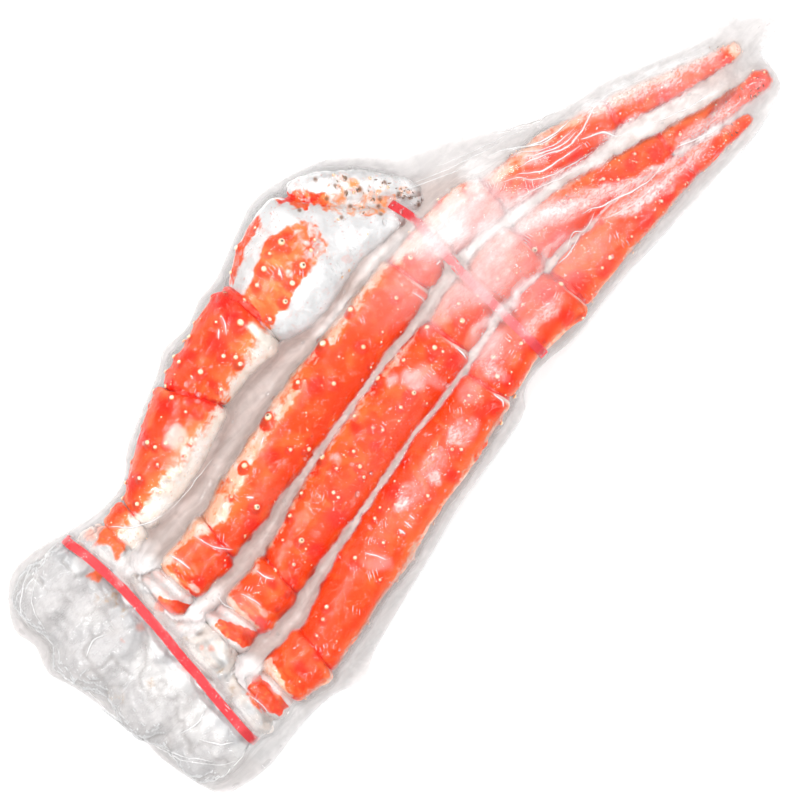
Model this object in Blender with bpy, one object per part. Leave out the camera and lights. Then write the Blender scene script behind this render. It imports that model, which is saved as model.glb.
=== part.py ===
"""A king crab section in a clear vacuum bag: a claw arm and three walking legs, still joined to their
white shoulder, held by two red rubber bands and lying flat in one layer.

The row frame: +X runs from the shoulder to the leg tips, +Y towards the claw arm, +Z up, and the origin is
on the table under the middle of the bag. The tables below are in millimetres, on a drafting frame whose
zero lies inside leg 1's long segment; shift_to_origin moves everything under the bag's middle at the end.

Each limb is a chain of joints. Every shell segment between two joints is a lofted tube whose ends lie in
the two joints' planes, so neighbours meet face to face with a small gap. The bag is a flat-bottomed tray
up to its seam, with a pocket for each limb; its film over the top has no thickness worth a solid.
"""

import math

import bmesh
import bpy
from mathutils import Vector
from mathutils.geometry import convex_hull_2d

MM = 0.001

# ---------------------------------------------------------------- driving dimensions, in millimetres
GAP = 0.7                 # between the end faces of neighbouring segments
BAG_FLOOR = 1.0           # thickness of the bag under the limbs
BAG_SEAM = 8.0            # height of the webs between the limbs, where the two films meet
BAG_EDGE = 1.6            # thickness of the trimmed edge of the bag
BAG_SKIRT = 9.0           # width over which the web slopes down to that edge
POCKET_ROOM = 0.45        # clearance between a limb and its pocket
REST = 1.4                # underside of a limb that lies on the bag's floor
BAND_REST = 2.8           # underside of a limb with a rubber band beneath it
LONG_SEGMENT = 60.0       # a segment of this length or more is square across in its middle
BAND_WIDTH = 4.8
BAND_THICKNESS = 1.0
BAND_ROOM = 0.35          # clearance between a band and what it goes round
BAND_FLATNESS = 0.08      # a band's section leaves out points nearer than this to its straight run
BAND_RUN = 9.0            # longest straight run of a band
SECTION_STEPS = 12        # points along each edge that are tested against a band

SHELL = "shell"
WHITE_SHELL = "white_shell"
MEAT = "shoulder_meat"
MEMBRANE = "membrane"
BAND = "band"
FILM = "film"
COLOURS = {
    SHELL: ((0.86, 0.17, 0.05, 1.0), 0.32),
    WHITE_SHELL: ((0.86, 0.84, 0.80, 1.0), 0.35),
    MEAT: ((0.88, 0.87, 0.84, 1.0), 0.55),
    MEMBRANE: ((0.90, 0.76, 0.72, 1.0), 0.45),
    BAND: ((0.85, 0.06, 0.10, 1.0), 0.45),
    FILM: ((0.86, 0.87, 0.88, 0.35), 0.12),
}

# How full each kind of segment is along its length: (share of the length, share of the joint's size).
PROFILES = {
    "coxa": ((0.0, 0.84), (0.16, 1.00), (0.60, 1.03), (0.88, 0.96), (1.0, 0.84)),
    "basis": ((0.0, 0.88), (0.25, 1.00), (0.75, 1.00), (1.0, 0.90)),
    "membrane": ((0.0, 0.84), (0.5, 0.90), (1.0, 0.84)),
    "ischium": ((0.0, 0.90), (0.14, 1.00), (0.55, 0.98), (0.86, 1.05), (1.0, 0.95)),
    "merus": ((0.0, 0.80), (0.03, 0.92), (0.10, 1.00), (0.26, 1.07), (0.45, 1.09), (0.64, 1.08),
              (0.80, 1.05), (0.92, 1.02), (0.98, 0.97), (1.0, 0.88)),
    "carpus": ((0.0, 0.80), (0.07, 0.92), (0.26, 0.93), (0.48, 0.95), (0.70, 1.03), (0.88, 1.06),
               (0.96, 1.00), (1.0, 0.88)),
    "propodus": ((0.0, 0.82), (0.05, 0.93), (0.20, 1.00), (0.42, 1.02), (0.66, 1.00), (0.88, 1.02),
                 (0.97, 1.00), (1.0, 0.86)),
    "dactylus": ((0.0, 0.78), (0.05, 0.92), (0.18, 1.02), (0.38, 1.04), (0.60, 1.05), (0.80, 1.08),
                 (0.94, 1.04), (1.0, 0.66)),
}

# A limb: joints are (x, y, width, height, slant), where slant turns the joint's plane, in degrees, from
# square across the limb. parts name the segments between them: their kind of profile, their finish and
# their underside. bows says how far the middle of a segment stands off its straight line, to its left.
LEG_PARTS = (
    ("coxa", WHITE_SHELL, BAND_REST),
    ("basis", SHELL, REST),
    ("membrane", MEMBRANE, REST),
    ("ischium", SHELL, REST),
    ("merus", SHELL, REST),
    ("carpus", SHELL, BAND_REST),
    ("propodus", SHELL, REST),
    ("dactylus", SHELL, REST),
)
LIMBS = {
    "leg1": {
        "joints": (
            (-165.0, 16.0, 32, 33, 0), (-156.0, 16.0, 31, 31, 0), (-149.5, 14.5, 31, 29, 14),
            (-143.0, 14.0, 31, 28, 6), (-113.5, 15.5, 30, 28, -14), (46.5, 41.0, 31, 28, 6),
            (104.0, 40.0, 27, 24, 0), (176.0, 26.5, 19, 16, 0), (246.5, 4.5, 9, 8, 0),
        ),
        "bows": {"merus": 2.0, "carpus": 3.5, "propodus": -1.0, "dactylus": -1.0},
        "parts": LEG_PARTS,
    },
    "leg2": {
        "joints": (
            (-164.0, -20.0, 34, 33, 0), (-146.0, -20.0, 30, 31, 0), (-139.0, -20.5, 29, 29, 14),
            (-131.5, -20.5, 28, 28, 6), (-104.5, -19.0, 27, 27, -14), (38.5, 5.0, 30, 27, 2),
            (99.0, 11.0, 27, 24, 0), (184.0, -2.5, 14, 14, 0), (247.0, -15.0, 10, 8, 0),
        ),
        "bows": {"merus": 3.0, "carpus": 4.0, "propodus": 2.0, "dactylus": -1.5},
        "parts": LEG_PARTS,
    },
    "leg3": {
        "joints": (
            (-166.0, -56.0, 32, 33, 0), (-156.5, -56.0, 29, 31, 0), (-148.5, -57.5, 27, 29, 8),
            (-143.0, -58.0, 27, 28, 4), (-118.5, -60.0, 28, 27, -14), (35.5, -27.5, 28, 27, 6),
            (98.0, -20.5, 28, 23, 0), (185.5, -19.5, 15, 14, 0), (226.0, -24.0, 5, 6, 0),
        ),
        "bows": {"merus": 2.2, "carpus": 3.4, "propodus": 2.0, "dactylus": 0.5},
        "parts": LEG_PARTS,
    },
    "claw": {
        "joints": (
            (-166.0, 50.0, 32, 34, 0), (-147.5, 50.0, 26, 30, 0), (-134.5, 51.5, 23, 27, -16),
            (-72.0, 73.5, 39, 36, 14), (-22.5, 81.0, 40, 36, -8.5),
        ),
        "bows": {"merus": -1.5, "carpus": 2.0},
        "parts": (
            ("coxa", WHITE_SHELL, BAND_REST), ("ischium", SHELL, REST),
            ("merus", SHELL, REST), ("carpus", SHELL, REST),
        ),
    },
}

# The palm runs on into the fixed finger: stations are (x, y of the lower edge, y of the upper edge, height,
# underside). The movable finger is (x, y, width, height, underside) along its own curve.
PALM = (
    (-21.5, 63.0, 99.0, 30, 3.2), (-18.0, 60.0, 103.0, 35, 1.8), (-8.0, 56.5, 109.0, 38, 1.4),
    (4.0, 55.5, 114.0, 39, 1.4), (16.0, 58.0, 117.0, 38, 1.4), (26.0, 60.5, 117.0, 35, 1.6),
    (34.0, 61.5, 108.0, 31, 2.0), (44.0, 61.5, 95.0, 26, 2.6), (54.0, 60.5, 83.5, 21, 3.0),
    (64.0, 60.0, 72.5, 16, 3.2), (74.0, 60.5, 68.0, 11, 3.4), (80.5, 61.5, 65.5, 6, 4.6),
)
FINGER = (
    (34.0, 111.0, 11, 14, 8.0), (37.5, 109.0, 15, 19, 6.0), (47.0, 102.0, 17, 20, 5.0),
    (58.5, 92.5, 16, 18, 4.5), (69.5, 81.5, 13, 14, 4.5), (78.0, 71.5, 8, 9, 5.0),
    (80.8, 67.0, 4, 5, 6.0),
)

# The white shoulder, one block of body meat to each limb: stations are (x, y of the lower edge, y of the
# upper edge, height). They meet the coxae under the shoulder's rubber band.
SHOULDER = {
    "claw": ((-208, 46, 64, 20), (-203, 40, 70, 31), (-192, 37.5, 73, 37), (-179, 37.5, 71.5, 37),
             (-170, 38.5, 69.5, 33), (-166, 41.5, 66.5, 28)),
    "leg1": ((-214, 10, 28, 18), (-209, 4, 33, 30), (-197, 1, 36, 38), (-181, 0.5, 36, 39),
             (-169, 1.5, 34.5, 33), (-165, 5, 31, 28)),
    "leg2": ((-210, -28, -10, 18), (-205, -34, -4, 30), (-194, -36.5, -0.8, 38), (-179, -36.5, -1, 38),
             (-168.5, -35.5, -2, 33), (-164.5, -32, -5, 28)),
    "leg3": ((-205, -63, -45, 18), (-200, -68, -40, 29), (-190, -71, -38, 35), (-179, -70.5, -38, 36),
             (-170.5, -69, -38.8, 32), (-166.5, -66, -42, 27)),
}

# The centrelines of the rubber bands, seen from above, as (y, x).
BANDS = {
    "shoulder": ((-64.0, -170.8), (-45.0, -169.2), (-20.0, -166.8), (10.0, -164.2), (30.0, -163.0),
                 (50.0, -163.8), (71.0, -167.0)),
    "legs": ((-33.0, 67.0), (20.0, 66.5), (40.0, 67.5), (58.0, 69.0), (75.0, 66.0)),
}

# The trimmed edge of the bag, anticlockwise from its far tip, and the thin tab of film beyond that tip.
BAG_TAB = ((247, -5.5), (260, -2), (271, -3), (273, 0), (264, 11), (249, 19.5))
BAG_EDGE_LINE = (
    (256, 3), (257, 15), (251, 23), (236, 22), (206, 32), (186, 41), (168, 44), (148, 52), (118, 71.5),
    (84, 91), (70, 105), (55, 114), (24, 123), (4, 118.5), (-22, 108.5), (-36, 107), (-50, 101.5),
    (-66, 102), (-78, 95), (-112, 81), (-126, 70), (-140, 67), (-156, 69), (-186, 76.5), (-204, 74),
    (-218.5, 56), (-217, 42), (-222, 28), (-217, 10), (-212, -28), (-212, -44), (-205, -74), (-193, -81),
    (-174, -83.5), (-152, -80.5), (-128, -81), (-112, -87.5), (-98, -80), (-46, -66.5), (-14, -58),
    (36, -50), (46, -42), (56, -38.5), (70, -38.5), (86, -40), (124, -35.5), (206, -33.5), (243, -26),
    (250, -16), (251, -6),
)
EDGE_STEPS = 3            # points along the edge's curve for each of those
OVAL = 2.3                # power of the superellipse that the limbs' cross-sections follow
SIDES = {"merus": 14, "palm": 14, "shoulder": 12}
FEW_SIDES = 12


# ---------------------------------------------------------------- tools
def start_empty():
    """Removes whatever the scene holds."""
    for obj in list(bpy.data.objects):
        bpy.data.objects.remove(obj, do_unlink=True)


def finish_of(name):
    """The material of that name, made on first use."""
    made = bpy.data.materials.get(name)
    if made:
        return made
    colour, roughness = COLOURS[name]
    made = bpy.data.materials.new(name)
    made.use_nodes = True
    shader = made.node_tree.nodes["Principled BSDF"]
    shader.inputs["Base Color"].default_value = colour
    shader.inputs["Roughness"].default_value = roughness
    shader.inputs["Metallic"].default_value = 0.0
    shader.inputs["Alpha"].default_value = colour[3]
    return made


def new_object(name, bm, finish, smooth=40.0):
    """A named object from bm, which is in millimetres, with its faces pointing out."""
    bmesh.ops.scale(bm, vec=(MM, MM, MM), verts=bm.verts)
    bmesh.ops.recalc_face_normals(bm, faces=bm.faces)
    mesh = bpy.data.meshes.new(name)
    bm.to_mesh(mesh)
    bm.free()
    mesh.materials.append(finish_of(finish))
    mesh.shade_smooth()
    mesh.set_sharp_from_angle(angle=math.radians(smooth))
    obj = bpy.data.objects.new(name, mesh)
    bpy.context.scene.collection.objects.link(obj)
    return obj


def oval_ring(station, sides):
    """Points of an upright superellipse whose plane faces the station's heading, an angle in plan."""
    centre, heading, width, height = station
    across = Vector((-math.sin(heading), math.cos(heading), 0.0))
    ring = []
    for i in range(sides):
        turn = 2.0 * math.pi * (i + 0.5) / sides
        c, s = math.cos(turn), math.sin(turn)
        u = math.copysign(abs(c) ** (2.0 / OVAL), c) * width / 2.0
        v = math.copysign(abs(s) ** (2.0 / OVAL), s) * height / 2.0
        ring.append(Vector(centre) + across * u + Vector((0.0, 0.0, v)))
    return ring


def skin(bm, loops):
    """Joins loops of equally many points into a closed tube with flat end caps."""
    rings = [[bm.verts.new(point) for point in loop] for loop in loops]
    for near, far in zip(rings, rings[1:]):
        for i in range(len(near)):
            j = (i + 1) % len(near)
            bm.faces.new((near[i], near[j], far[j], far[i]))
    bm.faces.new(tuple(reversed(rings[0])))
    bm.faces.new(tuple(rings[-1]))


def mix(a, b, share):
    return a + (b - a) * share


def ease(share):
    return share * share * (3.0 - 2.0 * share)


# ---------------------------------------------------------------- limbs
def joint_headings(joints):
    """The direction that each joint's plane faces: midway between its two segments, plus its slant."""
    ways = []
    for near, far in zip(joints, joints[1:]):
        ways.append(math.atan2(far[1] - near[1], far[0] - near[0]))
    found = []
    for i, joint in enumerate(joints):
        before = ways[max(i - 1, 0)]
        after = ways[min(i, len(ways) - 1)]
        found.append((before + after) / 2.0 + math.radians(joint[4]))
    return found


def segment_stations(joints, headings, index, kind, rest, bow):
    """Centres, headings and sizes of the rings of one segment, from joint index to the next."""
    near, far = joints[index], joints[index + 1]
    way = math.atan2(far[1] - near[1], far[0] - near[0])
    length = math.hypot(far[0] - near[0], far[1] - near[1])
    start, stop = GAP / 2.0, length - GAP / 2.0
    # The rings turn from one joint's plane to the other's, square across in the middle of a long segment.
    squareness = min(length / LONG_SEGMENT, 1.0)
    middle = mix((headings[index] + headings[index + 1]) / 2.0, way, squareness)
    fullest = max(fullness for _, fullness in PROFILES[kind])
    stations = []
    for share, fullness in PROFILES[kind]:
        along = mix(start, stop, share)
        aside = bow * 4.0 * share * (1.0 - share)
        x = near[0] + math.cos(way) * along - math.sin(way) * aside
        y = near[1] + math.sin(way) * along + math.cos(way) * aside
        if share < 0.5:
            heading = mix(headings[index], middle, share * 2.0)
        else:
            heading = mix(middle, headings[index + 1], share * 2.0 - 1.0)
        width = mix(near[2], far[2], share) * fullness
        height = mix(near[3], far[3], share) * fullness
        deepest = mix(near[3], far[3], share) * fullest
        stations.append(((x, y, rest + deepest / 2.0), heading, width, height))
    return stations


def limb_segments(spec):
    """Each segment of a limb: its kind, finish and stations."""
    headings = joint_headings(spec["joints"])
    for index, (kind, finish, rest) in enumerate(spec["parts"]):
        bow = spec["bows"].get(kind, 0.0)
        yield kind, finish, segment_stations(spec["joints"], headings, index, kind, rest, bow)


def segments():
    """The stations and sides of every lofted piece."""
    for spec in LIMBS.values():
        for kind, _, stations in limb_segments(spec):
            yield stations, SIDES.get(kind, FEW_SIDES)
    yield palm_stations(), SIDES["palm"]
    for limb in SHOULDER:
        yield shoulder_stations(limb), SIDES["shoulder"]


def make_limb(limb, spec):
    for kind, finish, stations in limb_segments(spec):
        new_object(f"{limb}_{kind}", lofted(stations, SIDES.get(kind, FEW_SIDES)), finish)


def lofted(stations, sides):
    bm = bmesh.new()
    skin(bm, [oval_ring(station, sides) for station in stations])
    return bm


def palm_stations():
    """The claw's palm with its fixed finger, along +X."""
    return [
        ((x, (low + high) / 2.0, under + height / 2.0), 0.0, high - low, height)
        for x, low, high, height, under in PALM
    ]


def finger_stations(room=0.0):
    """The claw's movable finger, along its own curve. room thickens it, for a cutter."""
    stations = []
    for i, (x, y, width, height, under) in enumerate(FINGER):
        near, far = FINGER[max(i - 1, 0)], FINGER[min(i + 1, len(FINGER) - 1)]
        heading = math.atan2(far[1] - near[1], far[0] - near[0])
        centre = (x, y, under + height / 2.0)
        stations.append((centre, heading, width + 2.0 * room, height + 2.0 * room))
    return stations


def shoulder_stations(limb):
    """The block of body meat at the root of one limb, along +X."""
    tallest = max(height for _, _, _, height in SHOULDER[limb])
    return [
        ((x - GAP / 2.0, (low + high) / 2.0, BAND_REST + tallest / 2.0), 0.0, high - low, height)
        for x, low, high, height in SHOULDER[limb]
    ]


def combine(obj, cutter, operation):
    """Takes cutter out of obj or adds it, and leaves the cutter as a hidden guide."""
    cutter.hide_render = True
    cutter.display_type = "WIRE"
    modifier = obj.modifiers.new(f"with_{cutter.name}", "BOOLEAN")
    modifier.operation = operation
    modifier.solver = "EXACT"
    modifier.object = cutter
    return modifier


def make_claw():
    palm = new_object("claw_palm", lofted(palm_stations(), SIDES["palm"]), WHITE_SHELL)
    new_object("claw_finger", lofted(finger_stations(), FEW_SIDES), WHITE_SHELL)
    room = lofted(lengthened(finger_stations(POCKET_ROOM), POCKET_ROOM), FEW_SIDES)
    combine(palm, new_object("guide_finger_room", room, WHITE_SHELL), "DIFFERENCE")


def make_shoulder():
    for limb in SHOULDER:
        new_object(f"shoulder_{limb}", lofted(shoulder_stations(limb), SIDES["shoulder"]), MEAT)


# ---------------------------------------------------------------- rubber bands
def along_line(line, y):
    """The x of a band's centreline at y, eased between the line's points."""
    if y <= line[0][0]:
        return line[0][1]
    for near, far in zip(line, line[1:]):
        if y <= far[0]:
            return mix(near[1], far[1], ease((y - near[0]) / (far[0] - near[0])))
    return line[-1][1]


def band_section(line):
    """The (y, z) hull of everything that a band goes round, where its centreline crosses it."""
    crossed = []
    for stations, sides in segments():
        rings = [oval_ring(station, sides) for station in stations]
        for near, far in zip(rings, rings[1:]):
            for a, b in zip(near, far):
                for step in range(SECTION_STEPS + 1):
                    point = a.lerp(b, step / SECTION_STEPS)
                    if abs(point.x - along_line(line, point.y)) < BAND_WIDTH / 2.0 + BAND_ROOM:
                        crossed.append((point.y, point.z))
    hull = [Vector(crossed[i]) for i in convex_hull_2d(crossed)]
    kept = []
    for i, point in enumerate(hull):
        before, after = hull[i - 1] if not kept else kept[-1], hull[(i + 1) % len(hull)]
        chord = after - before
        offset = abs(chord.x * (point.y - before.y) - chord.y * (point.x - before.x)) / chord.length
        if offset > BAND_FLATNESS:
            kept.append(point)
    # Long runs take points in between, so that the band can follow its line.
    divided = []
    for i, point in enumerate(kept):
        after = kept[(i + 1) % len(kept)]
        pieces = math.ceil((after - point).length / BAND_RUN)
        divided += [point.lerp(after, step / pieces) for step in range(pieces)]
    return divided


def grown(outline, distance):
    """A closed anticlockwise outline moved outwards, with its sides kept parallel."""
    moved = []
    for i, point in enumerate(outline):
        before, after = outline[i - 1], outline[(i + 1) % len(outline)]
        a, b = (point - before).normalized(), (after - point).normalized()
        normal = (Vector((a.y, -a.x)) + Vector((b.y, -b.x))).normalized()
        moved.append(point + normal * distance / max(normal.dot(Vector((a.y, -a.x))), 0.5))
    return moved


def make_band(name, line):
    """A flat rubber band pulled tight round what it holds."""
    section = band_section(line)
    inner, outer = grown(section, BAND_ROOM), grown(section, BAND_ROOM + BAND_THICKNESS)
    bm = bmesh.new()
    rings = []
    for (y0, z0), (y1, z1) in zip(inner, outer):
        x = along_line(line, y0)
        left, right = x - BAND_WIDTH / 2.0, x + BAND_WIDTH / 2.0
        corners = ((left, y0, z0), (right, y0, z0), (right, y1, z1), (left, y1, z1))
        rings.append([bm.verts.new(corner) for corner in corners])
    for i, near in enumerate(rings):
        far = rings[(i + 1) % len(rings)]
        for j in range(4):
            k = (j + 1) % 4
            bm.faces.new((near[j], near[k], far[k], far[j]))
    new_object(f"band_{name}", bm, BAND)


def band_stations(line):
    """The way of a band across the bag, seen from above, past both of its ends."""
    ys = [point.x for point in band_section(line)]
    reach = BAND_ROOM + BAND_THICKNESS
    low, high = min(ys) - reach, max(ys) + reach
    steps = 6
    way = [mix(low, high, i / steps) for i in range(steps + 1)]
    return [((along_line(line, y), y, 0.0), math.pi / 2.0, BAND_WIDTH, 0.0) for y in way]


# ---------------------------------------------------------------- the bag
def curve_through(line, steps):
    """A closed smooth curve through the points of line, as a Catmull-Rom spline."""
    curve = []
    count = len(line)
    for i in range(count):
        a, b, c, d = (Vector(line[(i + k) % count]) for k in (-1, 0, 1, 2))
        for step in range(steps):
            t = step / steps
            curve.append(0.5 * (2 * b + (c - a) * t + (2 * a - 5 * b + 4 * c - d) * t ** 2
                                + (3 * b - a - 3 * c + d) * t ** 3))
    return curve


def inset_line(line, distance):
    """The closed line moved inwards by distance, along each point's own normal."""
    moved = []
    count = len(line)
    for i, point in enumerate(line):
        before, after = Vector(line[i - 1]), Vector(line[(i + 1) % count])
        way = (after - before).normalized()
        moved.append(Vector(point) + Vector((-way.y, way.x)) * distance)
    return moved


def prism(bm, layers):
    """A closed solid from (outline, z) layers of equally many points, lowest first."""
    skin(bm, [[(x, y, z) for x, y in outline] for outline, z in layers])


def plan_of(stations, room):
    """The outline, seen from above, of a run of rings with room to spare on each side."""
    left, right = [], []
    for (x, y, _), heading, width, _ in stations:
        across = Vector((-math.sin(heading), math.cos(heading)))
        left.append(Vector((x, y)) + across * (width / 2.0 + room))
        right.append(Vector((x, y)) - across * (width / 2.0 + room))
    return right + left[::-1]


def limb_stations(spec):
    """The stations of a limb's whole run, without the rings that are drawn in at the joints."""
    run = []
    for _, _, stations in limb_segments(spec):
        run += stations[1:-1] if run else stations[:-1]
    return run + [stations[-1]]


def lengthened(stations, room):
    """The stations with the first and last moved outwards by room."""
    moved = list(stations)
    for index, inner in ((0, 1), (-1, -2)):
        (x, y, z), heading, width, height = moved[index]
        way = (Vector((x, y)) - Vector(moved[inner][0][:2])).normalized() * room
        moved[index] = ((x + way.x, y + way.y, z), heading, width, height)
    return moved


def pocket(bag, name, stations):
    """Cuts a straight-sided pocket for a run of rings into the bag, down to its floor."""
    bm = bmesh.new()
    plan = plan_of(lengthened(stations, POCKET_ROOM), POCKET_ROOM)
    prism(bm, ((plan, BAG_FLOOR), (plan, 2.0 * BAG_SEAM)))
    combine(bag, new_object(f"guide_pocket_{name}", bm, FILM), "DIFFERENCE")


def make_bag():
    bm = bmesh.new()
    edge = curve_through(BAG_EDGE_LINE, EDGE_STEPS)
    crest = curve_through(inset_line(BAG_EDGE_LINE, BAG_SKIRT), EDGE_STEPS)
    prism(bm, ((edge, 0.0), (edge, BAG_EDGE), (crest, BAG_SEAM)))
    bag = new_object("vacuum_bag", bm, FILM)
    bm = bmesh.new()
    prism(bm, ((BAG_TAB, 0.0), (BAG_TAB, BAG_EDGE)))
    combine(bag, new_object("guide_tab", bm, FILM), "UNION")
    for limb, spec in LIMBS.items():
        pocket(bag, limb, limb_stations(spec))
    pocket(bag, "claw_palm", palm_stations())
    pocket(bag, "claw_finger", finger_stations())
    for limb in SHOULDER:
        pocket(bag, f"shoulder_{limb}", shoulder_stations(limb))
    for name, line in BANDS.items():
        pocket(bag, f"band_{name}", band_stations(line))


def shift_to_origin():
    """Puts the middle of the bag over the origin."""
    outline = curve_through(BAG_EDGE_LINE, EDGE_STEPS) + [Vector(point) for point in BAG_TAB]
    xs = [point.x for point in outline]
    ys = [point.y for point in outline]
    middle = Vector(((min(xs) + max(xs)) / 2.0, (min(ys) + max(ys)) / 2.0, 0.0)) * MM
    for obj in bpy.data.objects:
        obj.location = obj.location - middle


def main():
    start_empty()
    for limb, spec in LIMBS.items():
        make_limb(limb, spec)
    make_claw()
    make_shoulder()
    for name, line in BANDS.items():
        make_band(name, line)
    make_bag()
    shift_to_origin()


main()
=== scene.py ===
"""The looks of a king crab section in a clear vacuum bag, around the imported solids.

Every shell segment starts from its own CAD solid, smoothed and remeshed finely, and then gets its
spines, its patches of colour and its joints. The bag's solid is replaced by two real sheets of film,
which are stretched over and under the contents by relaxing a height field that rests on them.

All lengths are in metres. Each limb runs from the shoulder, at low X, to its tip. On a segment, "along"
goes from 0 at its root to 1 at its tip, and "around" is 0 on the top, +90 degrees on the claw arm's
side (+Y) and -90 degrees on the other side. A segment's masks say where each paint lies: "flank" is
pale shell, and "amber", "deep" red, "cream" and "brown" are what they say.
"""

import math

import bmesh
import bpy
import numpy as np
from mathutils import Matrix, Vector
from mathutils.bvhtree import BVHTree


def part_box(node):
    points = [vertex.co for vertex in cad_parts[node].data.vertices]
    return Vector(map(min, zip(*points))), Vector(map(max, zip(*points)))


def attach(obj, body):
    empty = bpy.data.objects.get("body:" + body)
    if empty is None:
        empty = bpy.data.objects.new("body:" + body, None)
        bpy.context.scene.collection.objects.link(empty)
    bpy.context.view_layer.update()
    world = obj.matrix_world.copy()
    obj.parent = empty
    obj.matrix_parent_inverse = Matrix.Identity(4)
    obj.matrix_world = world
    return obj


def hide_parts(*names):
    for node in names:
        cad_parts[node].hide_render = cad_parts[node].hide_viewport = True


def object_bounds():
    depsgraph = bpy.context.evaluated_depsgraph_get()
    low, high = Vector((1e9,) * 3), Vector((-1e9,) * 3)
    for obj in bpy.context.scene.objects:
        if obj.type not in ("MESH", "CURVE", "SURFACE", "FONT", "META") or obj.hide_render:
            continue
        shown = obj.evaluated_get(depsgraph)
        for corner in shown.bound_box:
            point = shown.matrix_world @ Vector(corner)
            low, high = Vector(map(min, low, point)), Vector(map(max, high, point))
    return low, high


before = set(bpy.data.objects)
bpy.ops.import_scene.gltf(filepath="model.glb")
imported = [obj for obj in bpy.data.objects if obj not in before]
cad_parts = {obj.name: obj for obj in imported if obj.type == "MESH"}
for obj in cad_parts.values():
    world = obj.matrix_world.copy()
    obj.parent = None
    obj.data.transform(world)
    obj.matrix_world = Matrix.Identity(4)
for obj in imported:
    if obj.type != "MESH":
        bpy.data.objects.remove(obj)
CAD_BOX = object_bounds()

MM = 0.001
SHELL_VOXEL = 0.8 * MM      # mesh size of the shells
FILM_STEP = 0.95 * MM       # mesh size of the upper film
UNDER_STEP = 2.2 * MM                           # mesh size of the lower film
TALLEST = CAD_BOX[1][2] + 0.4 * MM              # no spine stands higher
TOP_EDGE, UNDER_EDGE = 1.3 * MM, 1.0 * MM       # how high the trimmed edges of the two sheets lie

LEGS = ("leg1", "leg2", "leg3")
LEG_KINDS = ("coxa", "basis", "membrane", "ischium", "merus", "carpus", "propodus", "dactylus")
CLAW_KINDS = ("coxa", "ischium", "merus", "carpus", "palm")

# How much wider each leg's sides are pressed towards the next leg, in millimetres: on +Y, then on -Y.
PRESSED = {"leg1": (0.0, 0.1), "leg2": (0.1, 1.5), "leg3": (1.5, 0.0)}

# The tables below count in millimetres from a place on leg 2, this far from the row's own origin.
TABLE_ORIGIN = np.array((-25.5, -17.75))

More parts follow.
